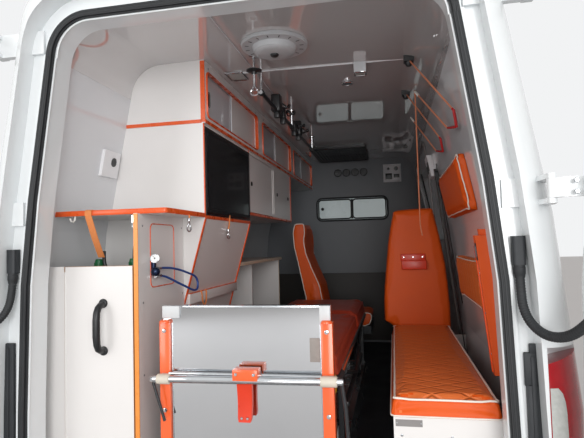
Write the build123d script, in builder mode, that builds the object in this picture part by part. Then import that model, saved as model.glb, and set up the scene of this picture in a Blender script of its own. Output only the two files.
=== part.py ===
from build123d import *
import math
import os

os.makedirs("parts", exist_ok=True)

# X is to the right, Y forward and Z up, in millimetres. Lengths here count from the rear seal's face,
# and each piece is written with its origin midway between the bolts under the underframe.

# Body shell
floor_z = 250
sill_z = 60
rear_face = -75
frame_depth = 90
body_end = 3560
bulkhead_y = body_end - 60
bulkhead_thick = 40
side_wall = 105
roof_wall = 112
lining_thick = 8
fit_gap = 0.3
eaves_z = 2165
eaves_half = 762
eaves_radius = 180
inner_radius = 150
roof_crown = 28
ceiling_crown = 8
corner_radius = 115
roof_split_z = 1900
pan_thick = 38

section_rows = (
    # height, half width
    (sill_z, 925),
    (360, 958),
    (760, 960),
    (1300, 908),
)

# Rear doorway, doors and their hinges
doorway_rows = (
    # height, half width
    (floor_z, 765),
    (680, 763),
    (1110, 752),
    (1400, 724),
)
doorway_top_z = 2014
doorway_top_half = 637
doorway_radius = 125
recess = 80
door_gap = 8
meeting_gap = 12
door_inner = -20
hinge_x = 870
hinge_y = -110
hinge_radius = 12
hinge_heights = (405, 1355, 1945)
arm_height = 50
ear_height = 13
ear_gap = 0.3
window_half = (130, 700)
window_z = (1200, 1830)
window_lean = 90
glass_thick = 5

# Underframe
rail_x = 430
rail_width = 90
rail_wall = 8
rail_z = floor_z - pan_thick
bolt_radius = 8.5
bolt_y = (500, 2900)
origin_y = sum(bolt_y) / 2

# Seal and rear step
seal_width = 38
seal_depth = 14
step_depth = 210
step_top_z = 158
step_half = 905
cap_x = 803
cap_depth = 34
cap_pocket = 42
cap_z = (floor_z + 905, floor_z + 985)
boss_x = 1020
boss_z = 966
lamp_x = 849
lamp_z = (floor_z + 230, floor_z + 690)

# Wheel arches and side door
axle_y = 1050
arch_radius = 410
arch_centre_z = 45
wheelhouse_x = 660
wheelhouse_wall = 8
side_door_y = (1820, 3080)
side_door_z = (150, 1880)
side_door_gap = 5
side_glass_y = (2060, 2920)
side_glass_z = (1230, 1760)

# Laminate fit-out on the left
board = 16
barrel_radius = 2.9
locker_y = (150, 550)
locker_side_x = -434
door_strip_x = -724
door_top_z = 917
shelf_z = 1105
shelf_thick = 18
shelf_x = -334
face_x = -324
screen_face_x = -334
screen_end_y = 1250
screen_y = (locker_y[1], screen_end_y)
fascia_z = (1100, 500)
flap_z = (1116, 1508)
fascia_foot_x = -504
overhead_z = 1520
ceiling_clear = 6
bay_rows = (
    # rear end, front end, pane pushed open by
    (573, 1421, 62),
    (1540, 2415, 0),
    (2538, bulkhead_y - 30, 0),
)
bay_z = (1552, 1757)
pane_thick = 5
pane_gap = 2
tall_y = (screen_end_y, 2430)
tall_z = 1150
tall_door_y = 1840
worktop_z = 880
worktop_x = -400
worktop_y = 2320

# Bench, cushions and backrest on the right
bench_x = 446
bench_y = (110, 1500)
bench_z = 440
bench_seat_z = 500
bench_hinge_x = 775
cushion_thick = 40
cushion_rows = (
    # rear end, front end, low edge, high edge
    (500, 1250, 1085, 1320),
    (480, 1180, 690, 905),
)
backrest_thick = 50

# Stretcher, its table and the loading ramp
table_x = (-330, 246)
table_y = (202, 2050)
table_z = 150
ramp_pivot = (170, 60)
ramp_rail_x = (-344, 223)
ramp_rail_width = 38
ramp_rail_y = (ramp_pivot[0] - 40, ramp_pivot[0] - 5)
ramp_rail_top = 720
ramp_top = 775
ramp_deck_y = ramp_pivot[0] - 27
pivot_radius = 8
wheel_radius = 70
wheel_width = 30
wheel_rows = (
    # length along the vehicle
    460,
    1740,
)
mattress_z = (500.3, 590)
mattress_x = (-270, 266)
mattress_y = (300, 1330, 2010)

# Attendant seat
seat_centre = (86, 2400)
seat_half = 225
seat_z = (370, 465)


def half_at(rows, height):
    """Half width that a table of heights and half widths gives at a height."""
    for (z0, w0), (z1, w1) in zip(rows, rows[1:]):
        if z0 <= height <= z1:
            return w0 + (w1 - w0) * (height - z0) / (z1 - z0)
    raise ValueError(height)


def doorway_half(height):
    """Half width of the rear opening at a height."""
    return half_at((*doorway_rows, (doorway_top_z, doorway_top_half)), height)


def station(y):
    """Plane across the vehicle at length y. Local x is X, local y is Z, and it faces the rear."""
    return Plane(origin=(0, y, 0), x_dir=(1, 0, 0), z_dir=(0, -1, 0))


def cross_section(inset, top_drop, corner, base):
    """Body cross-section drawn smaller by inset at the sides and by top_drop at the arched roof."""
    crown = ceiling_crown if top_drop else roof_crown
    side_points = [(half - inset, height) for height, half in section_rows]
    side_points[0] = (side_points[0][0], base)
    eaves = (eaves_half - inset, eaves_z - top_drop)
    with BuildSketch(mode=Mode.PRIVATE) as sketch:
        with BuildLine():
            right = Polyline(*side_points, eaves)
            mirror(right, about=Plane.YZ)
            ThreePointArc(eaves, (0, eaves[1] + crown), (-eaves[0], eaves[1]))
            Line(side_points[0], (-side_points[0][0], base))
        make_face()
        fillet(sketch.vertices().sort_by(Axis.Y)[-2:], radius=corner)
    return sketch.sketch


def doorway(grow):
    """Outline of the rear opening, grown outward all round."""
    side_points = [(half, height) for height, half in doorway_rows]
    top = (doorway_top_half, doorway_top_z)
    with BuildSketch(mode=Mode.PRIVATE) as sketch:
        with BuildLine():
            right = Polyline(*side_points, top)
            mirror(right, about=Plane.YZ)
            Line(top, (-top[0], top[1]))
            Line(side_points[0], (-side_points[0][0], floor_z))
        make_face()
        fillet(sketch.vertices().sort_by(Axis.Y)[-2:], radius=doorway_radius)
        if grow:
            offset(amount=grow, kind=Kind.INTERSECTION)
    return sketch.sketch


def door_window(shrink):
    """Window of the right rear door on its closed place, drawn smaller by shrink."""
    inner, outer = window_half
    low, high = window_z
    with BuildSketch(mode=Mode.PRIVATE) as sketch:
        with BuildLine():
            Polyline((inner, low), (outer, low), (outer - window_lean, high), (inner, high), close=True)
        make_face()
        fillet(sketch.vertices(), radius=45)
        if shrink:
            offset(amount=-shrink)
    return sketch.sketch


def block(x, y, z):
    """Box between two values on each axis, as a standalone solid."""
    size = (x[1] - x[0], y[1] - y[0], z[1] - z[0])
    centre = ((x[0] + x[1]) / 2, (y[0] + y[1]) / 2, (z[0] + z[1]) / 2)
    return Pos(*centre) * Box(*size, mode=Mode.PRIVATE)


def above_floor(*heights):
    """Heights given over the floor, as heights in the frame."""
    return tuple(floor_z + height for height in heights)


def wheelhouse(side, gap):
    """Drum of the wheel house on one side, grown by gap, to cut what stands on it."""
    drum = Pos(side * (wheelhouse_x + 250 - gap), axle_y, arch_centre_z) * Rot(0, 90, 0)
    return drum * Cylinder(arch_radius + wheelhouse_wall + gap, 500, mode=Mode.PRIVATE)


def save(part, name):
    """Label a finished piece and write it under its own name, from the origin at the bolts."""
    placed = part.moved(Location((0, -origin_y, 0)))
    placed.label = name
    export_step(placed, f"parts/{name}.step")


def bend_radii(points):
    """Radius at each corner of a hose's route, as large as the two runs beside it allow."""
    runs = [end - start for start, end in zip(points, points[1:])]
    radii = []
    for run, next_run in zip(runs, runs[1:]):
        half_turn = math.radians(run.get_angle(next_run) / 2)
        radii.append(0.45 * min(run.length, next_run.length) / math.tan(half_turn))
    return radii


# Outer envelope of the body, which the wall, roof, frame and door pieces are cut from
with BuildPart() as hull:
    with BuildSketch(station(rear_face)):
        add(cross_section(0, 0, eaves_radius, sill_z))
    extrude(amount=-(body_end - rear_face))
    rear_edges = hull.faces().sort_by(Axis.Y)[0].edges().sort_by(Axis.Z)[1:]
    fillet(rear_edges, radius=corner_radius)

# Surface of the linings, and of anything that stands off it by a distance
room_drop = roof_wall + lining_thick + fit_gap
room_inset = side_wall + lining_thick + fit_gap


def room_section(stand_off, base):
    """Cross-section of the room inside the linings, smaller by stand_off at the sides."""
    return cross_section(room_inset + stand_off, room_drop + min(stand_off, 0), inner_radius - lining_thick, base)


# Space between the structural walls
with BuildPart() as core:
    with BuildSketch(station(frame_depth)):
        add(cross_section(side_wall, roof_wall, inner_radius, 0))
    extrude(amount=-(body_end - frame_depth))

# Room inside the linings, which every fitting against a wall is trimmed to
with BuildPart() as room:
    with BuildSketch(station(frame_depth)):
        add(room_section(0, floor_z))
    extrude(amount=-(bulkhead_y - frame_depth))

# Rear frame: sill, D-pillars and header round the doorway, with a step that the doors close into
with BuildPart() as rear_frame:
    add(hull.part)
    split(bisect_by=station(frame_depth), keep=Keep.TOP)
    with BuildSketch(station(rear_face)):
        add(doorway(recess))
    extrude(amount=rear_face, mode=Mode.SUBTRACT)
    with BuildSketch(station(0)):
        add(doorway(0))
    extrude(amount=-frame_depth, mode=Mode.SUBTRACT)
    # Lamp pockets in both D-pillars
    for side in (-1, 1):
        add(
            block(sorted((side * lamp_x, side * 1000)), (rear_face - 1, 20), lamp_z),
            mode=Mode.SUBTRACT,
        )
    # Hinge ears outside the pillars and hinge plates in the step
    for side in (-1, 1):
        for height in hinge_heights:
            for low in (height - arm_height / 2 - ear_height - ear_gap, height + arm_height / 2 + ear_gap):
                with BuildSketch(Plane.XY.offset(low)):
                    with BuildLine():
                        Polyline(
                            (side * (hinge_x - 12), hinge_y),
                            (side * (hinge_x + 12), hinge_y),
                            (side * (hinge_x + 24), -50),
                            (side * (hinge_x + 10), 20),
                            (side * (hinge_x - 20), 20),
                            (side * (hinge_x - 20), -50),
                            close=True,
                        )
                    make_face()
                    with Locations((side * hinge_x, hinge_y)):
                        Circle(hinge_radius)
                extrude(amount=ear_height)
            plate_z = (height - 40, height + 40)
            plate_x = sorted((side * (doorway_half(height) + seal_width + 2), side * (hinge_x - 10)))
            add(block(plate_x, (-seal_depth, 10), plate_z))
save(rear_frame.part, "rear_frame")

# Bulb seal round the doorway
with BuildPart() as rear_seal:
    with BuildSketch(station(0)):
        add(doorway(seal_width))
        add(doorway(0), mode=Mode.SUBTRACT)
    extrude(amount=seal_depth / 2)
    with BuildSketch(station(-seal_depth / 2)):
        add(doorway(seal_width - 12))
        add(doorway(5), mode=Mode.SUBTRACT)
    extrude(amount=seal_depth / 2)
    for side in (-1, 1):
        for height in hinge_heights:
            plate_x = sorted((side * (doorway_half(height) + seal_width - 2), side * (hinge_x - 10)))
            add(block(plate_x, (-seal_depth, 10), (height - 41, height + 41)), mode=Mode.SUBTRACT)
save(rear_seal.part, "rear_seal")

# Side walls, with the wheel arches cut and the side door opening on the right
wall_parts = {}
for name, side in (("wall_left", -1), ("wall_right", 1)):
    with BuildPart() as side_wall_part:
        add(hull.part)
        split(bisect_by=station(frame_depth), keep=Keep.BOTTOM)
        split(bisect_by=Plane.XY.offset(roof_split_z), keep=Keep.BOTTOM)
        split(bisect_by=Plane.YZ, keep=Keep.TOP if side > 0 else Keep.BOTTOM)
        add(core.part, mode=Mode.SUBTRACT)
        with BuildSketch(Plane.YZ):
            with Locations((axle_y, arch_centre_z)):
                Circle(arch_radius)
        extrude(amount=side * 1000, mode=Mode.SUBTRACT)
        if side > 0:
            with BuildSketch(Plane.YZ):
                with Locations((sum(side_door_y) / 2, sum(side_door_z) / 2)):
                    RectangleRounded(side_door_y[1] - side_door_y[0], side_door_z[1] - side_door_z[0], 60)
            extrude(amount=1000, mode=Mode.SUBTRACT)
            # Channel that the side door's runner follows
            add(block((916, 1000), (500, side_door_y[0] - 20), (1090, 1126)), mode=Mode.SUBTRACT)
    wall_parts[name] = side_wall_part.part
    save(side_wall_part.part, name)

# Side door, as thick as the wall, with its window cut
with BuildPart() as sliding_door:
    add(hull.part)
    split(bisect_by=Plane.YZ, keep=Keep.TOP)
    add(core.part, mode=Mode.SUBTRACT)
    with BuildSketch(Plane.YZ):
        with Locations((sum(side_door_y) / 2, sum(side_door_z) / 2)):
            RectangleRounded(
                side_door_y[1] - side_door_y[0] - 2 * side_door_gap,
                side_door_z[1] - side_door_z[0] - 2 * side_door_gap,
                60 - side_door_gap,
            )
    extrude(amount=1000, mode=Mode.INTERSECT)
    with BuildSketch(Plane.YZ):
        with Locations((sum(side_glass_y) / 2, sum(side_glass_z) / 2)):
            RectangleRounded(side_glass_y[1] - side_glass_y[0], side_glass_z[1] - side_glass_z[0], 50)
    extrude(amount=1000, mode=Mode.SUBTRACT)
    add(block((900, 968), (1880, 2060), (1060, 1100)))
save(sliding_door.part, "sliding_door")

with BuildPart() as sliding_glass:
    add(hull.part)
    with BuildSketch(Plane.YZ):
        with Locations((sum(side_glass_y) / 2, sum(side_glass_z) / 2)):
            RectangleRounded(
                side_glass_y[1] - side_glass_y[0] - 2 * fit_gap,
                side_glass_z[1] - side_glass_z[0] - 2 * fit_gap,
                50 - fit_gap,
            )
    extrude(amount=1000, mode=Mode.INTERSECT)
    with BuildSketch(station(rear_face)):
        add(cross_section(glass_thick, 0, eaves_radius, sill_z))
    extrude(amount=-(body_end - rear_face), mode=Mode.SUBTRACT)
save(sliding_glass.part, "sliding_glass")

# Roof with pressed ribs
with BuildPart() as roof:
    add(hull.part)
    split(bisect_by=station(frame_depth), keep=Keep.BOTTOM)
    split(bisect_by=Plane.XY.offset(roof_split_z), keep=Keep.TOP)
    with BuildSketch(station(900)):
        with Locations(*[(x, eaves_z + roof_crown) for x in (-480, -240, 0, 240, 480)]):
            Rectangle(90, 44)
    extrude(amount=-(body_end - 160 - 900))
    add(core.part, mode=Mode.SUBTRACT)
save(roof.part, "roof")

# Vent cap and beacons standing on the roof
with BuildPart() as vent_cap:
    add(block((-210, 210), (260, 680), (eaves_z - 20, eaves_z + roof_crown + 45)))
    fillet(vent_cap.edges().filter_by(Axis.Z), radius=60)
    fillet(vent_cap.faces().sort_by(Axis.Z)[-1].edges(), radius=20)
    add(hull.part, mode=Mode.SUBTRACT)

with BuildPart() as beacons:
    with BuildSketch(Plane.XY.offset(eaves_z - 30)):
        with Locations((-520, 250), (520, 250)):
            Circle(78)
    extrude(amount=130, taper=6)
    fillet(beacons.faces().sort_by(Axis.Z)[-2:].edges(), radius=22)
    add(hull.part, mode=Mode.SUBTRACT)

# Underframe: two box rails with bolt holes below, cross members and outriggers
with BuildPart() as underframe:
    for side in (-1, 1):
        centre = side * rail_x
        with BuildSketch(station(frame_depth)):
            with Locations((centre, rail_z / 2)):
                Rectangle(rail_width, rail_z)
                Rectangle(rail_width - 2 * rail_wall, rail_z - 2 * rail_wall, mode=Mode.SUBTRACT)
        extrude(amount=-(bulkhead_y - frame_depth))
    for y in (frame_depth + 210, origin_y, bolt_y[1] - 400, bulkhead_y - 250):
        add(block((-rail_x + rail_width / 2, rail_x - rail_width / 2), (y - 35, y + 35), (70, rail_z - 20)))
        for side in (-1, 1):
            outrigger_x = sorted((side * (rail_x + rail_width / 2), side * 790))
            add(block(outrigger_x, (y - 25, y + 25), (110, rail_z)))
    with Locations(*[Pos(side * rail_x, y, 0) for side in (-1, 1) for y in bolt_y]):
        Cylinder(bolt_radius, 3 * rail_wall, mode=Mode.SUBTRACT)
save(underframe.part, "underframe")

# Floor pan between the walls, with the two wheel houses
with BuildPart() as floor_pan:
    add(core.part)
    split(bisect_by=Plane.XY.offset(floor_z), keep=Keep.BOTTOM)
    split(bisect_by=Plane.XY.offset(rail_z), keep=Keep.TOP)
    for side in (-1, 1):
        house_x = sorted((side * wheelhouse_x, side * 1000))
        with BuildSketch(Plane.YZ.offset(side * wheelhouse_x)):
            with Locations((axle_y, arch_centre_z)):
                Circle(arch_radius + wheelhouse_wall)
        extrude(amount=side * 400)
        with BuildSketch(Plane.YZ.offset(side * (wheelhouse_x + wheelhouse_wall))):
            with Locations((axle_y, arch_centre_z)):
                Circle(arch_radius)
        extrude(amount=side * 400, mode=Mode.SUBTRACT)
    add(block((-1000, 1000), (0, body_end), (-600, rail_z)), mode=Mode.SUBTRACT)
    with BuildSketch(station(frame_depth)):
        add(cross_section(side_wall, roof_wall, inner_radius, 0))
    extrude(amount=-(body_end - frame_depth), mode=Mode.INTERSECT)
save(floor_pan.part, "floor_pan")

# Step under the doors, lamps and black trim
with BuildPart() as rear_step:
    with BuildSketch(Plane.YZ):
        with BuildLine():
            Polyline(
                (rear_face - fit_gap, sill_z + 5),
                (rear_face - fit_gap, step_top_z),
                (rear_face - step_depth, step_top_z),
                (rear_face - step_depth - 22, step_top_z - 20),
                (rear_face - step_depth - 22, sill_z + 20),
                (rear_face - step_depth + 5, sill_z + 5),
                close=True,
            )
        make_face()
    extrude(amount=step_half, both=True)
    fillet(rear_step.edges().filter_by(Axis.Z), radius=70)
    add(block((-step_half + 60, step_half - 60), (rear_face - step_depth + 20, rear_face - 20), (0, 120)), mode=Mode.SUBTRACT)
    with BuildSketch(Plane.XY.offset(step_top_z)):
        with Locations((0, rear_face - step_depth / 2)):
            with GridLocations(0, 32, 1, 5):
                Rectangle(2 * step_half - 260, 12)
    extrude(amount=-5, mode=Mode.SUBTRACT)
save(rear_step.part, "rear_step")

with BuildPart() as outer_lamps:
    add(hull.part)
    with BuildSketch(station(rear_face - 1)):
        for side in (-1, 1):
            with BuildLine():
                Polyline(
                    (side * (lamp_x + fit_gap), lamp_z[0] + fit_gap),
                    (side * 1000, lamp_z[0] + fit_gap),
                    (side * 1000, lamp_z[1] - fit_gap),
                    (side * (lamp_x + fit_gap), lamp_z[1] - 42),
                    close=True,
                )
            make_face()
    extrude(amount=-(20 - rear_face + 1 - fit_gap), mode=Mode.INTERSECT)
    add(beacons.part)
save(outer_lamps.part, "outer_lamps")

moulding_x = section_rows[2][1] + fit_gap
with BuildPart() as black_trim:
    # Flares round the wheel openings, bent to the side of the body
    with BuildSketch(station(400)):
        add(cross_section(-14, 0, eaves_radius, sill_z))
        add(cross_section(-fit_gap, 0, eaves_radius, sill_z - 10), mode=Mode.SUBTRACT)
    extrude(amount=-1300)
    with BuildSketch(Plane.YZ):
        with Locations((axle_y, arch_centre_z)):
            Circle(arch_radius + 45)
            Circle(arch_radius, mode=Mode.SUBTRACT)
        with Locations((axle_y, sill_z - 500)):
            Rectangle(1200, 1000, mode=Mode.SUBTRACT)
    extrude(amount=1100, both=True, mode=Mode.INTERSECT)
    for side in (-1, 1):
        add(block(sorted((side * 809, side * 835)), (-seal_depth, -fit_gap), above_floor(280, 660)))
        for y in ((100, axle_y - arch_radius - 60), (axle_y + arch_radius + 60, side_door_y[0] - 15)):
            add(block(sorted((side * moulding_x, side * (moulding_x + 12))), y, (630, 700)))
    add(block((moulding_x, moulding_x + 12), (side_door_y[1] + 15, bulkhead_y), (630, 700)))
    add(block((-moulding_x - 12, -moulding_x), (side_door_y[0], bulkhead_y), (630, 700)))
    # Caps that the door cables hang from, open at the bottom
    for side in (-1, 1):
        with BuildSketch(Plane.XY.offset(cap_z[0])):
            with Locations((side * cap_x, -(cap_depth + fit_gap) / 2)):
                RectangleRounded(34, cap_depth - fit_gap, 9)
        extrude(amount=cap_z[1] - cap_z[0])
save(black_trim.part, "black_trim")

# Front bulkhead with its sliding window
window_x = (-274, 416)
window_wall_z = above_floor(1205, 1420)
with BuildPart() as bulkhead:
    with BuildSketch(station(bulkhead_y)):
        add(cross_section(side_wall + fit_gap, roof_wall + fit_gap, inner_radius, floor_z))
        with Locations((sum(window_x) / 2, sum(window_wall_z) / 2)):
            RectangleRounded(window_x[1] - window_x[0], window_wall_z[1] - window_wall_z[0], 45, mode=Mode.SUBTRACT)
    extrude(amount=-bulkhead_thick)
save(bulkhead.part, "bulkhead")

with BuildPart() as bulkhead_window:
    window_size = (window_x[1] - window_x[0], window_wall_z[1] - window_wall_z[0])
    window_centre = (sum(window_x) / 2, sum(window_wall_z) / 2)
    with BuildSketch(station(bulkhead_y - 6)):
        with Locations(window_centre):
            RectangleRounded(window_size[0] + 24, window_size[1] + 24, 57)
    extrude(amount=-(6 - fit_gap))
    with BuildSketch(station(bulkhead_y - 6)):
        with Locations(window_centre):
            RectangleRounded(window_size[0] - 2 * fit_gap, window_size[1] - 2 * fit_gap, 44)
    extrude(amount=-26)
    with BuildSketch(station(bulkhead_y - 6)):
        for low, high in ((window_x[0] + 14, 63), (81, window_x[1] - 14)):
            with Locations(((low + high) / 2, window_centre[1])):
                RectangleRounded(high - low, window_size[1] - 28, 30)
    extrude(amount=-8, mode=Mode.SUBTRACT)
save(bulkhead_window.part, "bulkhead_window")

# Linings inside the walls and the roof
lining_rows = (
    # name, side of the vehicle or 0 for the ceiling
    ("lining_left", -1),
    ("lining_right", 1),
    ("lining_ceiling", 0),
)
for name, side in lining_rows:
    with BuildPart() as lining:
        with BuildSketch(station(frame_depth + fit_gap)):
            add(cross_section(side_wall + fit_gap, roof_wall + fit_gap, inner_radius, floor_z + fit_gap))
            add(room_section(-fit_gap, floor_z - 20), mode=Mode.SUBTRACT)
        extrude(amount=-(bulkhead_y - frame_depth - 2 * fit_gap))
        if side:
            split(bisect_by=Plane.XY.offset(roof_split_z), keep=Keep.BOTTOM)
            split(bisect_by=Plane.YZ, keep=Keep.TOP if side > 0 else Keep.BOTTOM)
            add(wheelhouse(side, fit_gap), mode=Mode.SUBTRACT)
        else:
            split(bisect_by=Plane.XY.offset(roof_split_z + fit_gap), keep=Keep.TOP)
        if side > 0:
            with BuildSketch(Plane.YZ):
                with Locations((sum(side_door_y) / 2, sum(side_door_z) / 2)):
                    RectangleRounded(side_door_y[1] - side_door_y[0], side_door_z[1] - side_door_z[0], 60)
            extrude(amount=1000, mode=Mode.SUBTRACT)
    save(lining.part, name)

# Rear doors, drawn closed and turned half a turn outward on their hinges
door_axis = {side: Axis((side * hinge_x, hinge_y, 0), (0, 0, side)) for side in (-1, 1)}
for name, side in (("door_left", -1), ("door_right", 1)):
    with BuildPart() as closed_door:
        add(hull.part)
        split(bisect_by=station(door_inner), keep=Keep.TOP)
        with BuildSketch(station(door_inner)):
            add(doorway(recess - door_gap))
            with Locations((-side * 1000, 1000)):
                Rectangle(2000 + meeting_gap, 3000, mode=Mode.SUBTRACT)
        extrude(amount=200, mode=Mode.INTERSECT)
        with BuildSketch(station(door_inner)):
            add(door_window(0) if side > 0 else mirror(door_window(0), about=Plane.YZ, mode=Mode.PRIVATE))
        extrude(amount=200, mode=Mode.SUBTRACT)
        # Pressed panel inside, below the window
        with BuildSketch(station(door_inner)):
            with Locations((side * 415, 680)):
                RectangleRounded(560, 700, 60)
        extrude(amount=8, mode=Mode.SUBTRACT)
        # Hinge arms outside
        for height in hinge_heights:
            edge_x = doorway_half(height) + recess - door_gap
            with BuildSketch(Plane.XY.offset(height - arm_height / 2)):
                with BuildLine():
                    Polyline(
                        (side * (edge_x - 70), -60),
                        (side * (edge_x - 70), -92),
                        (side * 838, -94),
                        (side * (hinge_x - 8), hinge_y - 9),
                        (side * (hinge_x + 8), hinge_y + 9),
                        (side * 850, -81),
                        (side * (edge_x - 6), -81),
                        (side * (edge_x - 6), -60),
                        close=True,
                    )
                make_face()
                with Locations((side * hinge_x, hinge_y)):
                    Circle(hinge_radius)
            extrude(amount=arm_height)
        # Pocket for the cable's cap, open to the edge, and the boss where the cable enters
        pocket_x = sorted((side * (cap_x - 24), side * 900))
        add(block(pocket_x, (-cap_pocket, 0), (cap_z[0] - 45, cap_z[1] + 7)), mode=Mode.SUBTRACT)
        with BuildSketch(station(door_inner)):
            with Locations((side * (2 * hinge_x - boss_x), floor_z + boss_z)):
                Circle(17)
        extrude(amount=-5)
        # Outer handle
        if side > 0:
            add(block((50, 190), (rear_face - 28, rear_face + 5), (1050, 1100)))
    save(closed_door.part.rotate(door_axis[side], 180), name)

for name, side in (("door_left_glass", -1), ("door_right_glass", 1)):
    with BuildPart() as closed_glass:
        with BuildSketch(station(rear_face + 12)):
            add(door_window(fit_gap) if side > 0 else mirror(door_window(fit_gap), about=Plane.YZ, mode=Mode.PRIVATE))
        extrude(amount=-glass_thick)
    save(closed_glass.part.rotate(door_axis[side], 180), name)

# Cables from the body to the doors, each one corrugated hose that hangs in a loop
cable_radius = 13
cable_rows = (
    # across, along, height over the floor
    (cap_x, -20, cap_z[0] - floor_z - fit_gap),
    (cap_x, -20, 850),
    (cap_x, -46, 772),
    (832, -104, 727),
    (872, -172, 733),
    (902, -236, 784),
    (930, -290, 846),
    (964, -320, 896),
    (1000, -306, 940),
    (boss_x, -262, boss_z),
    (boss_x, 2 * hinge_y - door_inner - 5 - fit_gap, boss_z),
)
cable_points = [Vector(x, y, floor_z + z) for x, y, z in cable_rows]
cable_radii = bend_radii(cable_points)
print("door cable radii", [round(radius) for radius in cable_radii])

for name, side in (("door_cable_left", -1), ("door_cable_right", 1)):
    with BuildPart() as door_cable:
        with BuildLine() as hose:
            FilletPolyline(*[(side * point.X, point.Y, point.Z) for point in cable_points], radius=cable_radii)
        with BuildSketch(Plane(origin=hose.line @ 0, z_dir=hose.line % 0)):
            Circle(cable_radius)
        sweep()
    hose_length = sum(edge.length for edge in hose.edges())
    volume_share = door_cable.part.volume / (math.pi * cable_radius**2 * hose_length)
    print(name, "length", round(hose_length), "volume over section times length", round(volume_share, 4))
    save(door_cable.part, name)

# Oxygen locker: side panel, filler strip, back and base boards
with BuildPart() as oxygen_locker:
    y0, y1 = locker_y
    base, top = above_floor(fit_gap, shelf_z)
    add(block((locker_side_x - board, locker_side_x), (y0, y1 - fit_gap), (base, top)))
    add(block((-1000, door_strip_x), (y0, y0 + board), (base, floor_z + door_top_z)))
    add(block((-1000, locker_side_x), (y1 - board, y1 - fit_gap), (base, top)))
    add(block((-1000, locker_side_x), (y0, y1 - fit_gap), (base, base + board)))
    # Shelf over the locker, with its corner cut back
    with BuildSketch(Plane.XY.offset(top)):
        with BuildLine():
            Polyline(
                (-1000, 185),
                (-660, 170),
                (shelf_x, 175),
                (shelf_x, y1 - fit_gap),
                (-1000, y1 - fit_gap),
                close=True,
            )
        make_face()
    extrude(amount=shelf_thick)
    add(room.part, mode=Mode.INTERSECT)
save(oxygen_locker.part, "oxygen_locker")

with BuildPart() as oxygen_door:
    add(
        block(
            (door_strip_x + fit_gap, locker_side_x - board - 3),
            (locker_y[0] - 3, locker_y[0] + board - 3),
            above_floor(board + 3, door_top_z),
        )
    )
    with Locations((door_strip_x + fit_gap, locker_y[0] - 3, floor_z + board + 20)):
        Cylinder(barrel_radius, door_top_z - board - 40, align=(Align.CENTER, Align.CENTER, Align.MIN))
save(oxygen_door.part, "oxygen_door")

handle_x = -559
handle_z = above_floor(612, 803)
handle_reach = 46
with BuildPart() as oxygen_handle:
    with BuildLine() as grip:
        FilletPolyline(
            (handle_x, locker_y[0] - 3 - fit_gap, handle_z[0]),
            (handle_x, locker_y[0] - handle_reach + 12, handle_z[0]),
            (handle_x, locker_y[0] - handle_reach, handle_z[0] + 25),
            (handle_x, locker_y[0] - handle_reach, handle_z[1] - 25),
            (handle_x, locker_y[0] - handle_reach + 12, handle_z[1]),
            (handle_x, locker_y[0] - 3 - fit_gap, handle_z[1]),
            radius=14,
        )
    with BuildSketch(Plane(origin=grip.line @ 0, x_dir=(1, 0, 0), z_dir=(0, -1, 0))):
        Ellipse(12, 9)
    sweep()
save(oxygen_handle.part, "oxygen_handle")

# Two gas cylinders in the locker, with valve caps, and the regulator on the side panel
bottle_radius = 64
bottle_rows = (
    # across, along
    (-662, 300),
    (-522, 300),
)
nipple_x = locker_side_x + 13.3
nipple_y = 282
hose_z = (872, 900)
with BuildPart() as regulator:
    with BuildSketch(Plane.YZ.offset(locker_side_x + fit_gap)):
        with Locations((248, floor_z + hose_z[0]), (248, floor_z + hose_z[0] + 6)):
            Circle(12)
        with Locations((248, floor_z + 893)):
            Circle(17)
        with Locations((248, floor_z + 918)):
            Rectangle(10, 50)
        with Locations((248, floor_z + 943)):
            Circle(19)
    extrude(amount=26)
    with BuildSketch(station(248)):
        with Locations(*[(nipple_x, floor_z + z) for z in hose_z]):
            Circle(5.5)
    extrude(amount=-(nipple_y - 248))

with BuildPart() as oxygen_cylinders:
    with Locations(*[(x, y, floor_z + board + 2 * fit_gap) for x, y in bottle_rows]):
        Cylinder(bottle_radius, 760, align=(Align.CENTER, Align.CENTER, Align.MIN))
    fillet(oxygen_cylinders.faces().sort_by(Axis.Z)[-2:].edges(), radius=52)
    with Locations(*[(x, y, floor_z + 770) for x, y in bottle_rows]):
        Cylinder(14, 130, align=(Align.CENTER, Align.CENTER, Align.MIN))
    with Locations(*[(x, y, floor_z + 880) for x, y in bottle_rows]):
        Cylinder(22, 58, align=(Align.CENTER, Align.CENTER, Align.MIN))
    add(regulator.part)
save(oxygen_cylinders.part, "oxygen_cylinders")


# Hose that loops from one nipple of the regulator to the other
hose_radius = 4.5
hose_rows = (
    # across, along, height over the floor
    (nipple_x, nipple_y + fit_gap, hose_z[1]),
    (nipple_x, 325, hose_z[1]),
    (-410, 378, 896),
    (-397, 432, 885),
    (-386, 480, 870),
    (-380, 512, 861),
    (-375, 540, 849),
    (-372, 553, 829),
    (-370, 549, 806),
    (-369, 530, 793),
    (-373, 498, 796),
    (-383, 445, 817),
    (-396, 400, 836),
    (-410, 358, 856),
    (nipple_x, 322, hose_z[0]),
    (nipple_x, nipple_y + fit_gap, hose_z[0]),
)
hose_points = [Vector(x, y, floor_z + z) for x, y, z in hose_rows]
hose_radii = bend_radii(hose_points)
print("oxygen hose radii", [round(radius) for radius in hose_radii])
with BuildPart() as oxygen_hose:
    with BuildLine() as loop:
        FilletPolyline(*hose_points, radius=hose_radii)
    with BuildSketch(Plane(origin=loop.line @ 0, z_dir=loop.line % 0)):
        Circle(hose_radius)
    sweep()
loop_length = sum(edge.length for edge in loop.edges())
volume_share = oxygen_hose.part.volume / (math.pi * hose_radius**2 * loop_length)
print("oxygen_hose length", round(loop_length), "volume over section times length", round(volume_share, 4))
save(oxygen_hose.part, "oxygen_hose")

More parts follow.
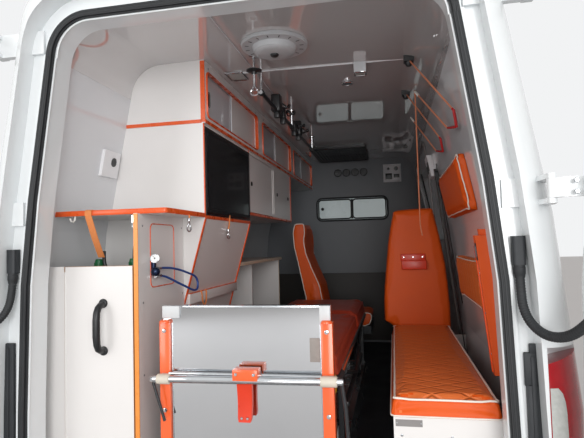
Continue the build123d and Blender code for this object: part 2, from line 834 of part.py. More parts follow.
# Screen cabinet: end panels, face with the tinted flap, slanted fascia below
with BuildPart() as screen_cabinet:
    low_z, high_z = above_floor(fit_gap, overhead_z - fit_gap)
    fascia_top, fascia_foot = above_floor(*fascia_z)
    for y in (screen_y[0], screen_y[1] - board):
        with BuildSketch(station(y)):
            with BuildLine():
                Polyline(
                    (-1000, low_z),
                    (fascia_foot_x, low_z),
                    (fascia_foot_x, fascia_foot),
                    (screen_face_x, fascia_top),
                    (screen_face_x, high_z),
                    (-1000, high_z),
                    close=True,
                )
            make_face()
        extrude(amount=-board)
    with BuildSketch(station(screen_y[0])):
        with BuildLine():
            Polyline(
                (fascia_foot_x - board, low_z),
                (fascia_foot_x, low_z),
                (fascia_foot_x, fascia_foot),
                (screen_face_x, fascia_top),
                (screen_face_x, high_z),
                (screen_face_x - board, high_z),
                (screen_face_x - board, fascia_top + 5),
                (fascia_foot_x - board, fascia_foot + 5),
                close=True,
            )
        make_face()
    extrude(amount=-(screen_y[1] - screen_y[0]))
    for height in (fascia_top, high_z - board):
        add(block((-1000, screen_face_x - board / 2), screen_y, (height, height + board)))
    with BuildSketch(Plane.YZ.offset(-500)):
        with Locations((sum(screen_y) / 2, floor_z + sum(flap_z) / 2)):
            RectangleRounded(screen_y[1] - screen_y[0] - 80, flap_z[1] - flap_z[0] - 70, 24)
    extrude(amount=200, mode=Mode.SUBTRACT)
    add(room.part, mode=Mode.INTERSECT)
    add(wheelhouse(-1, 2), mode=Mode.SUBTRACT)
save(screen_cabinet.part, "screen_cabinet")

with BuildPart() as screen_flap:
    flap_x = screen_face_x + fit_gap
    add(block((flap_x, flap_x + 6), (screen_y[0] + 8, screen_y[1] - 8), above_floor(*flap_z)))
    fillet(screen_flap.edges().filter_by(Axis.Y).sort_by(Axis.Z)[-2:], radius=2.9)
save(screen_flap.part, "screen_flap")

# Overhead lockers: floor board, dividers, and a face board with three long openings
with BuildPart() as overhead_lockers:
    low_z, high_z = above_floor(overhead_z, 1900)
    face_back = face_x - board
    add(block((face_back, face_x), (screen_y[0], bulkhead_y - fit_gap), (low_z, high_z)))
    with BuildSketch(Plane.YZ.offset(face_back)):
        for y0, y1, _ in bay_rows:
            with Locations(((y0 + y1) / 2, floor_z + sum(bay_z) / 2)):
                RectangleRounded(y1 - y0, bay_z[1] - bay_z[0], 28)
    extrude(amount=board, mode=Mode.SUBTRACT)
    # Panes fixed in the front half of each opening
    pane_top = bay_z[1] + 12
    pane_foot = overhead_z + board + fit_gap
    for y0, y1, _ in bay_rows:
        pane_y = ((y0 + y1) / 2 - 20, y1 + 10)
        add(block((face_back - pane_thick, face_back), pane_y, above_floor(pane_foot, pane_top)))
    add(room.part, mode=Mode.INTERSECT)
save(overhead_lockers.part, "overhead_lockers")

with BuildPart() as overhead_shelf:
    add(block((-1000, face_back - fit_gap), (screen_y[0], bulkhead_y - fit_gap), (low_z, low_z + board)))
    divider_rows = (screen_y[0], 1480 - board / 2, 2476 - board / 2, bulkhead_y - board - fit_gap)
    for y in divider_rows:
        add(block((-1000, face_back - fit_gap), (y, y + board), (low_z + board + fit_gap, high_z)))
    add(room.part, mode=Mode.INTERSECT)
save(overhead_shelf.part, "overhead_shelf")

for number, (y0, y1, pushed) in enumerate(bay_rows, start=1):
    middle = (y0 + y1) / 2
    pane_x = face_x - board - pane_thick - pane_gap
    with BuildPart() as sliding_pane:
        add(
            block(
                (pane_x - pane_thick, pane_x),
                (y0 - 4 + pushed, middle + 12 + pushed),
                above_floor(overhead_z + board + fit_gap, pane_top),
            )
        )
        with BuildSketch(Plane.YZ.offset(pane_x)):
            with Locations((y0 + 30 + pushed, floor_z + sum(bay_z) / 2)):
                SlotOverall(60, 18, rotation=90)
        extrude(amount=-2, mode=Mode.SUBTRACT)
    save(sliding_pane.part, f"overhead_pane_{number}")

# Tall locker between the screen cabinet and the seat, with a worktop below it
with BuildPart() as tall_locker:
    low_z, high_z = above_floor(tall_z, overhead_z - fit_gap)
    y0, y1 = tall_y[0] + fit_gap, tall_y[1]
    add(block((-1000, screen_face_x), (y0, y1), (low_z, low_z + board)))
    add(block((-1000, screen_face_x), (y0, y1), (high_z - board, high_z)))
    for y in (y0, tall_door_y, y1 - board):
        add(block((-1000, screen_face_x - (board + 2 if y == y0 else 0)), (y, y + board), (low_z, high_z)))
    add(block((screen_face_x - board, screen_face_x), (tall_door_y, y1), (low_z, high_z)))
    add(room.part, mode=Mode.INTERSECT)
save(tall_locker.part, "tall_locker")

with BuildPart() as tall_door:
    add(
        block(
            (screen_face_x - board, screen_face_x),
            (tall_y[0] + 4, tall_door_y - fit_gap),
            above_floor(tall_z + board + 3, overhead_z - board - 4),
        )
    )
    hinge_leaf = block(
        (screen_face_x, screen_face_x + barrel_radius),
        (tall_door_y - 30, tall_door_y - fit_gap),
        above_floor(tall_z + board + 20, overhead_z - board - 20),
    )
    add(hinge_leaf)
    with Locations((screen_face_x + barrel_radius + 0.1, tall_door_y - fit_gap, floor_z + tall_z + board + 20)):
        Cylinder(barrel_radius, overhead_z - tall_z - 2 * board - 40, align=(Align.CENTER, Align.CENTER, Align.MIN))
save(tall_door.part, "tall_door")

with BuildPart() as worktop:
    y0 = tall_y[0] + fit_gap
    add(block((-1000, worktop_x), (y0, worktop_y), above_floor(worktop_z - 20, worktop_z)))
    add(block((-1000, worktop_x - 15), (worktop_y - 40, worktop_y - 22), above_floor(fit_gap, worktop_z - 20)))
    add(block((-1000, worktop_x - 60), (1700, 1718), above_floor(fit_gap, worktop_z - 20)))
    add(room.part, mode=Mode.INTERSECT)
save(worktop.part, "worktop")

# Bench box on the right, its lid with the seat cushion, and the cushions on the wall
with BuildPart() as bench_base:
    low_z, high_z = above_floor(fit_gap, bench_z)
    add(block((bench_x, bench_x + board), bench_y, (low_z, high_z)))
    for y in (bench_y[0], bench_y[1] - board):
        add(block((bench_x, 1000), (y, y + board), (low_z, high_z)))
    add(room.part, mode=Mode.INTERSECT)
    add(wheelhouse(1, 2), mode=Mode.SUBTRACT)
save(bench_base.part, "bench_base")

with BuildPart() as bench_seat:
    add(
        block(
            (bench_x - 14, bench_hinge_x),
            (bench_y[0] - 8, bench_y[1] - 5),
            above_floor(bench_z + fit_gap, bench_seat_z),
        )
    )
    fillet(bench_seat.faces().sort_by(Axis.Z)[-1].edges(), radius=14)
    with BuildSketch(station(bench_y[0] + board + 14)):
        with Locations((bench_hinge_x, floor_z + bench_z + fit_gap)):
            Circle(2 * barrel_radius)
    extrude(amount=-(bench_y[1] - bench_y[0] - 2 * board - 28))
save(bench_seat.part, "bench_seat")

with BuildPart() as side_cushions:
    with BuildSketch(station(0)):
        add(room_section(0, floor_z))
        add(room_section(cushion_thick, floor_z - 10), mode=Mode.SUBTRACT)
    extrude(amount=-2000)
    cushion_boxes = [block((300, 1000), (y0, y1), above_floor(z0, z1)) for y0, y1, z0, z1 in cushion_rows]
    add(Compound(children=cushion_boxes), mode=Mode.INTERSECT)
    # Padded post at the rear end of the bench
    with BuildSketch(station(385)):
        add(room_section(0, floor_z))
        add(room_section(50, floor_z - 10), mode=Mode.SUBTRACT)
        with Locations((800, floor_z + 760)):
            Rectangle(400, 450, mode=Mode.INTERSECT)
    extrude(amount=-40)
save(side_cushions.part, "side_cushions")

backrest_points = (
    # across, height over the floor
    (391, 505),
    (391, 640),
    (429, 985),
    (463, 1165),
    (702, 1175),
    (734, 1020),
    (766, 830),
    (780, 620),
    (780, 300),
    (bench_x, 300),
    (bench_x, 480),
)
with BuildPart() as backrest:
    with BuildSketch(station(bench_y[1] + fit_gap)):
        with BuildLine():
            Polyline(*[(x, floor_z + z) for x, z in backrest_points], close=True)
        make_face()
    extrude(amount=-backrest_thick)
    fillet(backrest.faces().sort_by(Axis.Y)[0].edges(), radius=12)
    with BuildSketch(station(bench_y[1] + fit_gap)):
        with Locations((556, floor_z + 905)):
            RectangleRounded(150, 90, 16)
    extrude(amount=16)
save(backrest.part, "backrest")

# Attendant seat that turns on its pedestal, facing across the vehicle
with BuildPart() as seat_pedestal:
    with Locations((*seat_centre, floor_z + fit_gap)):
        Cylinder(150, 18, align=(Align.CENTER, Align.CENTER, Align.MIN))
        Cylinder(50, seat_z[0] - 55 - 2 * fit_gap, align=(Align.CENTER, Align.CENTER, Align.MIN))
save(seat_pedestal.part, "seat_pedestal")

seat_x, seat_y = seat_centre
back_lean = 110
with BuildPart() as seat_shell:
    add(
        block(
            (seat_x - 190, seat_x + 200),
            (seat_y - seat_half + 15, seat_y + seat_half - 15),
            above_floor(seat_z[0] - 55, seat_z[0] - fit_gap),
        )
    )
    with BuildSketch(station(seat_y - seat_half + 25)):
        with BuildLine():
            Polyline(
                (seat_x - 190, floor_z + seat_z[0] - 55),
                (seat_x - 240, floor_z + 470),
                (seat_x - 240 - back_lean, floor_z + 990),
                (seat_x - 225 - back_lean, floor_z + 1120),
                (seat_x - 205 - back_lean, floor_z + 1120),
                (seat_x - 220 - back_lean, floor_z + 990),
                (seat_x - 218, floor_z + 470),
                (seat_x - 170, floor_z + seat_z[0] - fit_gap),
                close=True,
            )
        make_face()
    extrude(amount=-(2 * seat_half - 50))
save(seat_shell.part, "seat_shell")

with BuildPart() as seat_cushions:
    add(
        block(
            (seat_x - 165, seat_x + 215),
            (seat_y - seat_half, seat_y + seat_half),
            above_floor(*seat_z),
        )
    )
    fillet(seat_cushions.edges().filter_by(Axis.Z), radius=60)
    with BuildSketch(station(seat_y - seat_half)):
        with BuildLine():
            Polyline(
                (seat_x - 219.7, floor_z + 480),
                (seat_x - 219.6 - back_lean, floor_z + 990),
                (seat_x - 203 - back_lean, floor_z + 1132),
                (seat_x - 140 - back_lean, floor_z + 1135),
                (seat_x - 145 - back_lean, floor_z + 1010),
                (seat_x - 100 - back_lean, floor_z + 800),
                (seat_x - 128, floor_z + 480),
                close=True,
            )
        make_face()
    extrude(amount=-2 * seat_half)
save(seat_cushions.part, "seat_cushions")

# Stretcher table with the lugs that carry the ramp
with BuildPart() as stretcher_table:
    add(block(table_x, table_y, above_floor(fit_gap, table_z)))
    add(block((table_x[0] + 20, table_x[1] - 20), (table_y[0] + 20, table_y[1] - 20), above_floor(-10, table_z - 12)), mode=Mode.SUBTRACT)
    for x in (table_x[0] + 32, table_x[1] - 52):
        add(block((x, x + 20), (ramp_pivot[0] - 14, table_y[0]), above_floor(ramp_pivot[1] - 14, ramp_pivot[1] + 14)))
    with BuildSketch(Plane.YZ):
        with Locations((ramp_pivot[0], floor_z + ramp_pivot[1])):
            Circle(pivot_radius + fit_gap)
    extrude(amount=400, both=True, mode=Mode.SUBTRACT)
save(stretcher_table.part, "stretcher_table")

# Ramp: channel rails, sheet deck, and a tube bar with its catch
with BuildPart() as ramp_rails:
    rail_y0, rail_y1 = ramp_rail_y
    for x in ramp_rail_x:
        add(block((x, x + ramp_rail_width), (rail_y0, rail_y1), above_floor(40, ramp_rail_top)))
        add(block((x + 5, x + ramp_rail_width - 5), (rail_y0 + 5, rail_y1 + 5), above_floor(90, ramp_rail_top + 5)), mode=Mode.SUBTRACT)
        add(block((x, x + ramp_rail_width), (rail_y1 - 2, ramp_pivot[0] + 14), above_floor(44, 78)))
    with BuildSketch(Plane.YZ.offset(ramp_rail_x[0] + 2)):
        with Locations((ramp_pivot[0], floor_z + ramp_pivot[1])):
            Circle(pivot_radius)
    extrude(amount=ramp_rail_x[1] + ramp_rail_width - 4 - ramp_rail_x[0])
save(ramp_rails.part, "ramp_rails")

deck_x = (ramp_rail_x[0] + ramp_rail_width + fit_gap, ramp_rail_x[1] - fit_gap)
with BuildPart() as ramp_deck:
    add(block(deck_x, (ramp_deck_y, ramp_deck_y + 3), above_floor(85, ramp_top)))
    for x in (deck_x[0], deck_x[1] - 3):
        add(block((x, x + 3), (ramp_deck_y, ramp_rail_y[1]), above_floor(85, ramp_top)))
    for z in (85, 300, 520, ramp_top - 3):
        add(block(deck_x, (ramp_deck_y, ramp_rail_y[1]), above_floor(z, z + 3)))
    top_x = (ramp_rail_x[0] + 8, ramp_rail_x[1] + 32)
    add(block(top_x, (ramp_deck_y, ramp_rail_y[1]), above_floor(ramp_rail_top + fit_gap, ramp_top)))
save(ramp_deck.part, "ramp_deck")

bar_x = (-356, 276)
bar_y = 100
bar_z = 525
bar_foot_z = 275
with BuildPart() as ramp_bar:
    with BuildLine() as bar_path:
        FilletPolyline(
            (bar_x[0] + 4, bar_y, floor_z + bar_foot_z),
            (bar_x[0], bar_y, floor_z + bar_z),
            (bar_x[1], bar_y, floor_z + bar_z),
            (bar_x[1] + 14, bar_y, floor_z + bar_foot_z),
            radius=24,
        )
    with BuildSketch(Plane(origin=bar_path.line @ 0, z_dir=bar_path.line % 0)):
        Circle(10)
    sweep()
    for x in ramp_rail_x:
        add(block((x - 6, x + ramp_rail_width + 6), (bar_y - 14, ramp_rail_y[0] - fit_gap), above_floor(bar_z - 17, bar_z + 17)))
    # Catch bracket and the hook that hangs from it
    add(block((-70, 22), (bar_y - 20, ramp_rail_y[0]), above_floor(bar_z - 13, bar_z + 22)))
    with BuildSketch(Plane.YZ.offset(-52)):
        with BuildLine():
            Polyline(
                (bar_y - 22, floor_z + bar_z + 5),
                (bar_y - 26, floor_z + bar_z - 60),
                (bar_y - 18, floor_z + bar_z - 145),
                (bar_y - 6, floor_z + bar_z - 145),
                (bar_y - 8, floor_z + bar_z - 60),
                (bar_y - 4, floor_z + bar_z + 5),
                close=True,
            )
        make_face()
    extrude(amount=52)
    with BuildSketch(Plane.YZ.offset(ramp_rail_x[0] + ramp_rail_width + fit_gap)):
        with Locations((ramp_rail_y[0] - 10, floor_z + bar_z + 26)):
            Circle(6)
    extrude(amount=ramp_rail_x[1] - ramp_rail_x[0] - ramp_rail_width - 2 * fit_gap)
save(ramp_bar.part, "ramp_bar")

# Stretcher: tube frame with folded legs, wheel pairs, and a mattress in two sections
frame_z = 485
frame_tube = 15
frame_x = (-257, 251)
with BuildPart() as stretcher_frame:
    with BuildLine() as frame_path:
        FilletPolyline(
            (frame_x[0], 260, floor_z + frame_z),
            (frame_x[0], 2000, floor_z + frame_z),
            (frame_x[1], 2000, floor_z + frame_z),
            (frame_x[1], 260, floor_z + frame_z),
            radius=60,
            close=True,
        )
    with BuildSketch(Plane(origin=frame_path.line @ 0, z_dir=frame_path.line % 0)):
        Circle(frame_tube)
    sweep()
    for y in (500, 900, 1300, 1700):
        add(block(frame_x, (y - 12, y + 12), above_floor(frame_z - 10, frame_z + frame_tube)))
    axle_z = table_z + wheel_radius + 2 * fit_gap
    for y in wheel_rows:
        for x in (frame_x[0] - 4, frame_x[1] - 14):
            add(block((x, x + 18), (y - 16, y + 16), above_floor(axle_z - 16, frame_z)))
        with BuildSketch(Plane.YZ):
            with Locations((y, floor_z + axle_z)):
                Circle(pivot_radius + 2 * fit_gap)
        extrude(amount=400, both=True, mode=Mode.SUBTRACT)
    # Lock column that holds the stretcher on its table
    add(block((-25, 25), (888, 912), above_floor(table_z, frame_z)))
save(stretcher_frame.part, "stretcher_frame")

for number, y in enumerate(wheel_rows):
    with BuildPart() as wheels:
        with BuildSketch(Plane.YZ.offset(frame_x[0] - 5)):
            with Locations((y, floor_z + axle_z)):
                Circle(pivot_radius)
        extrude(amount=frame_x[1] - frame_x[0] + 10)
        for x in (frame_x[0] + 20, frame_x[1] - 20 - wheel_width):
            with BuildSketch(Plane.YZ.offset(x)):
                with Locations((y, floor_z + axle_z)):
                    Circle(wheel_radius)
            extrude(amount=wheel_width)
    save(wheels.part, "wheels_rear" if number == 0 else "wheels_front")

mattress_rows = (
    # name, rear end, front end
    ("mattress_seat", mattress_y[0], mattress_y[1] - 8),
    ("mattress_back", mattress_y[1], mattress_y[2]),
)
for name, y0, y1 in mattress_rows:
    with BuildPart() as mattress:
        add(block(mattress_x, (y0, y1), above_floor(*mattress_z)))
        fillet(mattress.edges().filter_by(Axis.Y), radius=24)
    save(mattress.part, name)

# Ceiling: rail with hangers, drip bails, vent, lamps and air outlets
ceiling_z = 1800
rail_at = (-124, 1700)
with BuildPart() as ceiling_rail:
    with BuildSketch(station(760)):
        with Locations((rail_at[0], floor_z + rail_at[1])):
            Circle(9)
    extrude(amount=-1540)
    for y in (775, 1500, 2285):
        with Locations((rail_at[0], y, floor_z + rail_at[1])):
            Cylinder(8, ceiling_z - rail_at[1] + 6, align=(Align.CENTER, Align.CENTER, Align.MIN))
    add(room.part, mode=Mode.INTERSECT)
save(ceiling_rail.part, "ceiling_rail")

bail_radius = 3.5
bail_rows = (
    # across, along from the bracket, height over the floor
    (560, 0, 1782),
    (699, -350, 1452),
    (710, -320, 1398),
    (692, -180, 1425),
    (592, 190, 1690),
)
strap_x, strap_y = 592, 933
strap_z = (1002, 1680)
with BuildPart() as drip_bails:
    for y in (743, 1266):
        with BuildLine() as bail:
            FilletPolyline(*[(x, y + along, floor_z + z) for x, along, z in bail_rows], radius=9)
        with BuildSketch(Plane(origin=bail.line @ 0, z_dir=bail.line % 0)):
            Circle(bail_radius)
        sweep(path=bail.line)
        add(block((538, 582), (y - 20, y + 20), above_floor(1770, 1830)))
    # Sleeve on the tip of the first one, for the strap
    with Locations((strap_x, strap_y, floor_z + strap_z[1])):
        Cylinder(5, 14, align=(Align.CENTER, Align.CENTER, Align.MIN))
    add(room.part, mode=Mode.INTERSECT)
save(drip_bails.part, "drip_bails")

# Thin strap that hangs plumb from the tip of the first bail
strap_radius = 3
strap_points = (
    Vector(strap_x, strap_y, floor_z + strap_z[1] - fit_gap),
    Vector(strap_x, strap_y, floor_z + strap_z[0] + 43),
    Vector(strap_x + 8, strap_y, floor_z + strap_z[0]),
)
with BuildPart() as bail_strap:
    with BuildLine() as hanging:
        FilletPolyline(*strap_points, radius=bend_radii(strap_points))
    with BuildSketch(Plane(origin=hanging.line @ 0, z_dir=hanging.line % 0)):
        Circle(strap_radius)
    sweep()
print("bail_strap length", round(sum(edge.length for edge in hanging.edges())))
save(bail_strap.part, "bail_strap")

with BuildPart() as ceiling_lamps:
    add(block((316, 371), (760, 815), above_floor(1752, 1840)))
    add(block((-294, -209), (740, 850), above_floor(1797, 1840)))
    with Locations((262, 1035, floor_z + 1792)):
        Cylinder(28, 40, align=(Align.CENTER, Align.CENTER, Align.MIN))
    add(room.part, mode=Mode.INTERSECT)
save(ceiling_lamps.part, "ceiling_lamps")

with BuildPart() as air_outlets:
    add(block((-214, 256), (bulkhead_y - 810, bulkhead_y - 130), above_floor(1776, 1840)))
    with Locations((14, 470, floor_z + ceiling_z + 10)):
        Cylinder(134, 22, align=(Align.CENTER, Align.CENTER, Align.MAX))
        Cylinder(84, 42, align=(Align.CENTER, Align.CENTER, Align.MAX))
    add(room.part, mode=Mode.INTERSECT)
    with BuildSketch(station(bulkhead_y - fit_gap)):
        with Locations(*[(x, floor_z + 1675) for x in (-57, 28, 113, 198)]):
            Circle(38)
    extrude(amount=12)
    add(vent_cap.part)
save(air_outlets.part, "air_outlets")

with BuildPart() as control_panels:
    add(block((391, 561), (bulkhead_y - 20, bulkhead_y - fit_gap), above_floor(1560, 1735)))
    with BuildSketch(station(1620)):
        add(room_section(0, floor_z))
        add(room_section(28, floor_z - 10), mode=Mode.SUBTRACT)
        with Locations((800, floor_z + 1430)):
            Rectangle(400, 130, mode=Mode.INTERSECT)
    extrude(amount=-180)
    with BuildSketch(station(400)):
        add(room_section(0, floor_z))
        add(room_section(14, floor_z - 10), mode=Mode.SUBTRACT)
        with Locations((-800, floor_z + 1345)):
            Rectangle(400, 110, mode=Mode.INTERSECT)
    extrude(amount=-120)
save(control_panels.part, "control_panels")
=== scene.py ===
import math

import bmesh
import bpy
from mathutils import Matrix, Vector
from mathutils.bvhtree import BVHTree


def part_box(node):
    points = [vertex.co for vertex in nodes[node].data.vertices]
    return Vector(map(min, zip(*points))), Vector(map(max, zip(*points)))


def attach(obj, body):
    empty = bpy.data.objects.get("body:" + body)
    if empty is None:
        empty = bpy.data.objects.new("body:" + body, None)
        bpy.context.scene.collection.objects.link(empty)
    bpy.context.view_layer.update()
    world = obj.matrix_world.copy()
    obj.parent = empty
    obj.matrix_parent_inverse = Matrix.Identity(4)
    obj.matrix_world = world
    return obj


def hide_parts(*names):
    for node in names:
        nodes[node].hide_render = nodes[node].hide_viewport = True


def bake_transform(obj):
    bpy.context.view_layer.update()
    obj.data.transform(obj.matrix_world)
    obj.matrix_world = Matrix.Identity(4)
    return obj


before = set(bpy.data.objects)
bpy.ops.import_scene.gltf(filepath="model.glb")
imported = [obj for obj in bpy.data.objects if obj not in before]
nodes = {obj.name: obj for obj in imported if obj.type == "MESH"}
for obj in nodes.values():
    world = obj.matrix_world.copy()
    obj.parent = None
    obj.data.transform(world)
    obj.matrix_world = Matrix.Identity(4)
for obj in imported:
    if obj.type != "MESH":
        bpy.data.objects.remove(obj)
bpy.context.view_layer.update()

# Camera: at chest height behind the open doors, right of the middle.
# It looks slightly left and up through a moderate wide-angle lens.
SEAL_Y = -1.7
FLOOR_Z = 0.25
SENSOR_MM = 36
FOCAL_PIXELS = 500
PICTURE_PIXELS = 584


def place(x, y, z):
    """Point given across, ahead of the rear seal and over the load floor, in the part's frame."""
    return Vector((x, y + SEAL_Y, z + FLOOR_Z))


def add_object(name, data):
    """Object in the scene that shows a mesh or curve, or works as a camera or light."""
    thing = bpy.data.objects.new(name, data)
    bpy.context.scene.collection.objects.link(thing)
    return thing


yaw, pitch, roll = math.radians(11.4), math.radians(2.83), math.radians(-1.54)
ahead = Vector((-math.sin(yaw) * math.cos(pitch), math.cos(yaw) * math.cos(pitch), math.sin(pitch)))
right = Vector((math.cos(yaw), math.sin(yaw), 0))
up = right.cross(ahead)
right, up = right * math.cos(roll) + up * math.sin(roll), up * math.cos(roll) - right * math.sin(roll)
camera_data = bpy.data.cameras.new("camera")
camera_data.sensor_width = SENSOR_MM
camera_data.lens = SENSOR_MM * FOCAL_PIXELS / PICTURE_PIXELS
camera_data.clip_start = 0.05
camera = add_object("camera", camera_data)
rotation = Matrix((right, up, -ahead)).transposed().to_4x4()
camera.matrix_world = Matrix.Translation(place(0.466, -1.50, 0.98)) @ rotation
bpy.context.scene.camera = camera
bpy.context.scene.view_settings.view_transform = "Standard"


# Door cables: black corrugated EPDM conduits that carry the wiring from the pillars to the doors.
# Each hangs in a loop from its moulded cap. Extruded and blown rubber is matt, with dust in its grooves.
def colour(code):
    """Linear colour from an sRGB hex code."""
    values = [int(code[i : i + 2], 16) / 255 for i in (1, 3, 5)]
    return (*[v / 12.92 if v <= 0.04045 else ((v + 0.055) / 1.055) ** 2.4 for v in values], 1.0)


def add_node(tree, kind, links=(), **values):
    """Shader node with its settings or inputs set, and its named inputs linked from other sockets."""
    node = tree.nodes.new(kind)
    for key, value in values.items():
        socket = node.inputs.get(key.replace("_", " "))
        if socket is None:
            setattr(node, key, value)
        else:
            socket.default_value = value
    for name, source in links:
        tree.links.new(source, node.inputs[name])
    return node


MIX_FIRST, MIX_SECOND, MIX_RESULT = 6, 7, 2


def finish(name, code, second, patch, rough, spread=0.06, grain=1.0, relief=0.1, **sockets):
    """Surface in two close colours, in patches and with a grain whose sizes are in millimetres."""
    material = bpy.data.materials.new(name)
    material.use_nodes = True
    tree = material.node_tree
    shader = tree.nodes["Principled BSDF"]
    for key, value in sockets.items():
        shader.inputs[key.replace("_", " ")].default_value = value
    where = add_node(tree, "ShaderNodeTexCoord").outputs["Object"]
    cloud = add_node(tree, "ShaderNodeTexNoise", [("Vector", where)], Scale=1000 / patch, Detail=5.0)
    tint = add_node(tree, "ShaderNodeMix", [("Factor", cloud.outputs["Fac"])], data_type="RGBA")
    base = colour(code)
    tint.inputs[MIX_FIRST].default_value = colour(second)
    tint.inputs[MIX_SECOND].default_value = base
    tree.links.new(tint.outputs[MIX_RESULT], shader.inputs["Base Color"])
    polish = add_node(tree, "ShaderNodeMapRange", [("Value", cloud.outputs["Fac"])])
    polish.inputs["To Min"].default_value = max(rough - spread, 0.01)
    polish.inputs["To Max"].default_value = min(rough + spread, 1)
    tree.links.new(polish.outputs["Result"], shader.inputs["Roughness"])
    if relief:
        fine = add_node(tree, "ShaderNodeTexNoise", [("Vector", where)], Scale=1000 / grain, Detail=2.0)
        bump = add_node(
            tree, "ShaderNodeBump", [("Height", fine.outputs["Fac"])], Strength=relief, Distance=0.001,
        )
        tree.links.new(bump.outputs["Normal"], shader.inputs["Normal"])
    return material


def dress(node, *materials):
    """Give a CAD node its materials, the first one on all its faces."""
    mesh = nodes[node].data
    mesh.materials.clear()
    for material in materials:
        mesh.materials.append(material)


def dress_faces(node, number, test):
    """Give a CAD node's faces another of its materials where a test of their middle and normal holds."""
    mesh = nodes[node].data
    for face in mesh.polygons:
        middle = face.center - place(0, 0, 0)
        if test(middle, face.normal):
            face.material_index = number


def piece(name, mesh, material, body="compartment", sharp=30):
    """Object made from a mesh, with its material, riding on a body if one is given."""
    if not isinstance(mesh, bpy.types.Mesh):
        form, mesh = mesh, bpy.data.meshes.new(name)
        bmesh.ops.recalc_face_normals(form, faces=form.faces[:])
        form.to_mesh(mesh)
        form.free()
    mesh.shade_smooth()
    mesh.set_sharp_from_angle(angle=math.radians(sharp))
    thing = add_object(name, mesh)
    mesh.materials.append(material)
    if body:
        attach(thing, body)
    return thing


def frames_along(points, closed=False):
    """Tangent and two crosswise directions at each point of a line, turned as little as possible."""
    count = len(points)
    tangents = []
    for i in range(count):
        after = points[(i + 1) % count] if closed or i + 1 < count else points[i]
        before = points[i - 1] if closed or i else points[i]
        tangents.append((after - before).normalized())
    side = tangents[0].orthogonal().normalized()
    rows = []
    for tangent in tangents:
        side = (side - tangent * side.dot(tangent)).normalized()
        rows.append((tangent, side, tangent.cross(side)))
    return rows


def join_rings(form, rings, closed=False):
    """Faces between rings of points, with a flat cap at both ends unless the rings run round."""
    for one, two in zip(rings, rings[1:] + (rings[:1] if closed else [])):
        count = len(one)
        for k in range(count):
            form.faces.new((one[k], one[(k + 1) % count], two[(k + 1) % count], two[k]))
    if not closed:
        form.faces.new(rings[0][::-1])
        form.faces.new(rings[-1])


def pipe(form, points, radii, around=12, closed=False):
    """Tube with one radius or its own at each point, closed by caps unless it runs round."""
    if isinstance(radii, float):
        radii = [radii] * len(points)
    rings = []
    for point, radius, (_, side, over) in zip(points, radii, frames_along(points, closed)):
        ring = []
        for k in range(around):
            turn = 2 * math.pi * k / around
            ring.append(form.verts.new(point + (side * math.cos(turn) + over * math.sin(turn)) * radius))
        rings.append(ring)
    join_rings(form, rings, closed)


def steered_curve(name, points, resolution):
    """Smooth curve that a route's points steer."""
    curve = bpy.data.curves.new(name, "CURVE")
    curve.dimensions = "3D"
    curve.resolution_u = resolution
    spline = curve.splines.new("NURBS")
    spline.points.add(len(points) - 1)
    for slot, point in zip(spline.points, points):
        slot.co = (*point, 1)
    spline.order_u = 3
    spline.use_endpoint_u = True
    return curve


def smooth_line(name, points):
    """Points along the smooth line that a hose's route steers."""
    curve = steered_curve(name, points, 24)
    guide = bpy.data.objects.new(name, curve)
    mesh = bpy.data.meshes.new_from_object(guide)
    line = [vert.co.copy() for vert in mesh.vertices]
    bpy.data.objects.remove(guide)
    bpy.data.curves.remove(curve)
    bpy.data.meshes.remove(mesh)
    return line


def evenly(line, step):
    """Points a step apart along a line."""
    out, left = [line[0]], step
    for start, end in zip(line, line[1:]):
        run = (end - start).length
        while run >= left:
            start = start + (end - start) * (left / run)
            run -= left
            out.append(start)
            left = step
        left -= run
    if (out[-1] - line[-1]).length > step * 0.3:
        out.append(line[-1])
    else:
        out[-1] = line[-1]
    return out


rubber_conduit = finish(
    "corrugated_epdm_rubber", "#2B2E31", "#1E2022", patch=60, rough=0.62, grain=0.8, relief=0.15,
)
cable_route = (
    (0.803, -0.020, 0.9047),
    (0.803, -0.020, 0.850),
    (0.803, -0.046, 0.772),
    (0.832, -0.104, 0.727),
    (0.872, -0.172, 0.733),
    (0.902, -0.236, 0.784),
    (0.930, -0.290, 0.846),
    (0.964, -0.320, 0.896),
    (1.000, -0.306, 0.940),
    (1.020, -0.262, 0.966),
    (1.020, -0.2053, 0.966),
)
groove_step = 0.0019
crest_radius, groove_depth = 0.0130, 0.0016
plain_radius, plain_count = 0.0129, 16
collar_spans = (0.0003, 0.006, 0.007, 0.024, 0.0255, 0.034)
collar_radii = (0.0152, 0.0152, 0.0162, 0.0158, 0.0146, 0.0136)
for side, word in ((-1, "left"), (1, "right")):
    line = evenly(
        smooth_line("cable_guide", [place(side * x, y, z) for x, y, z in cable_route]), groove_step,
    )
    hose_form = bmesh.new()
    radii = [
        crest_radius - groove_depth * (0.5 + 0.5 * math.cos(math.pi / 2 * i)) for i in range(len(line))
    ]
    for i in range(plain_count):
        radii[i] = radii[-1 - i] = plain_radius
    pipe(hose_form, line, radii, around=20)
    hose = piece(f"door_hose_{word}", hose_form, rubber_conduit, body=None, sharp=80)
    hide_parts(f"door_cable_{word}")
    collar_form = bmesh.new()
    for middle, way in ((line[0], line[8] - line[0]), (line[-1], line[-9] - line[-1])):
        pipe(
            collar_form, [middle + way.normalized() * span for span in collar_spans], collar_radii,
            around=24,
        )
    collars = piece(f"hose_collars_{word}", collar_form, rubber_conduit, body=None, sharp=40)
    # The hose and its collars ride on no body; their placement is baked into their meshes.
    for part in (hose, collars):
        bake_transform(part)


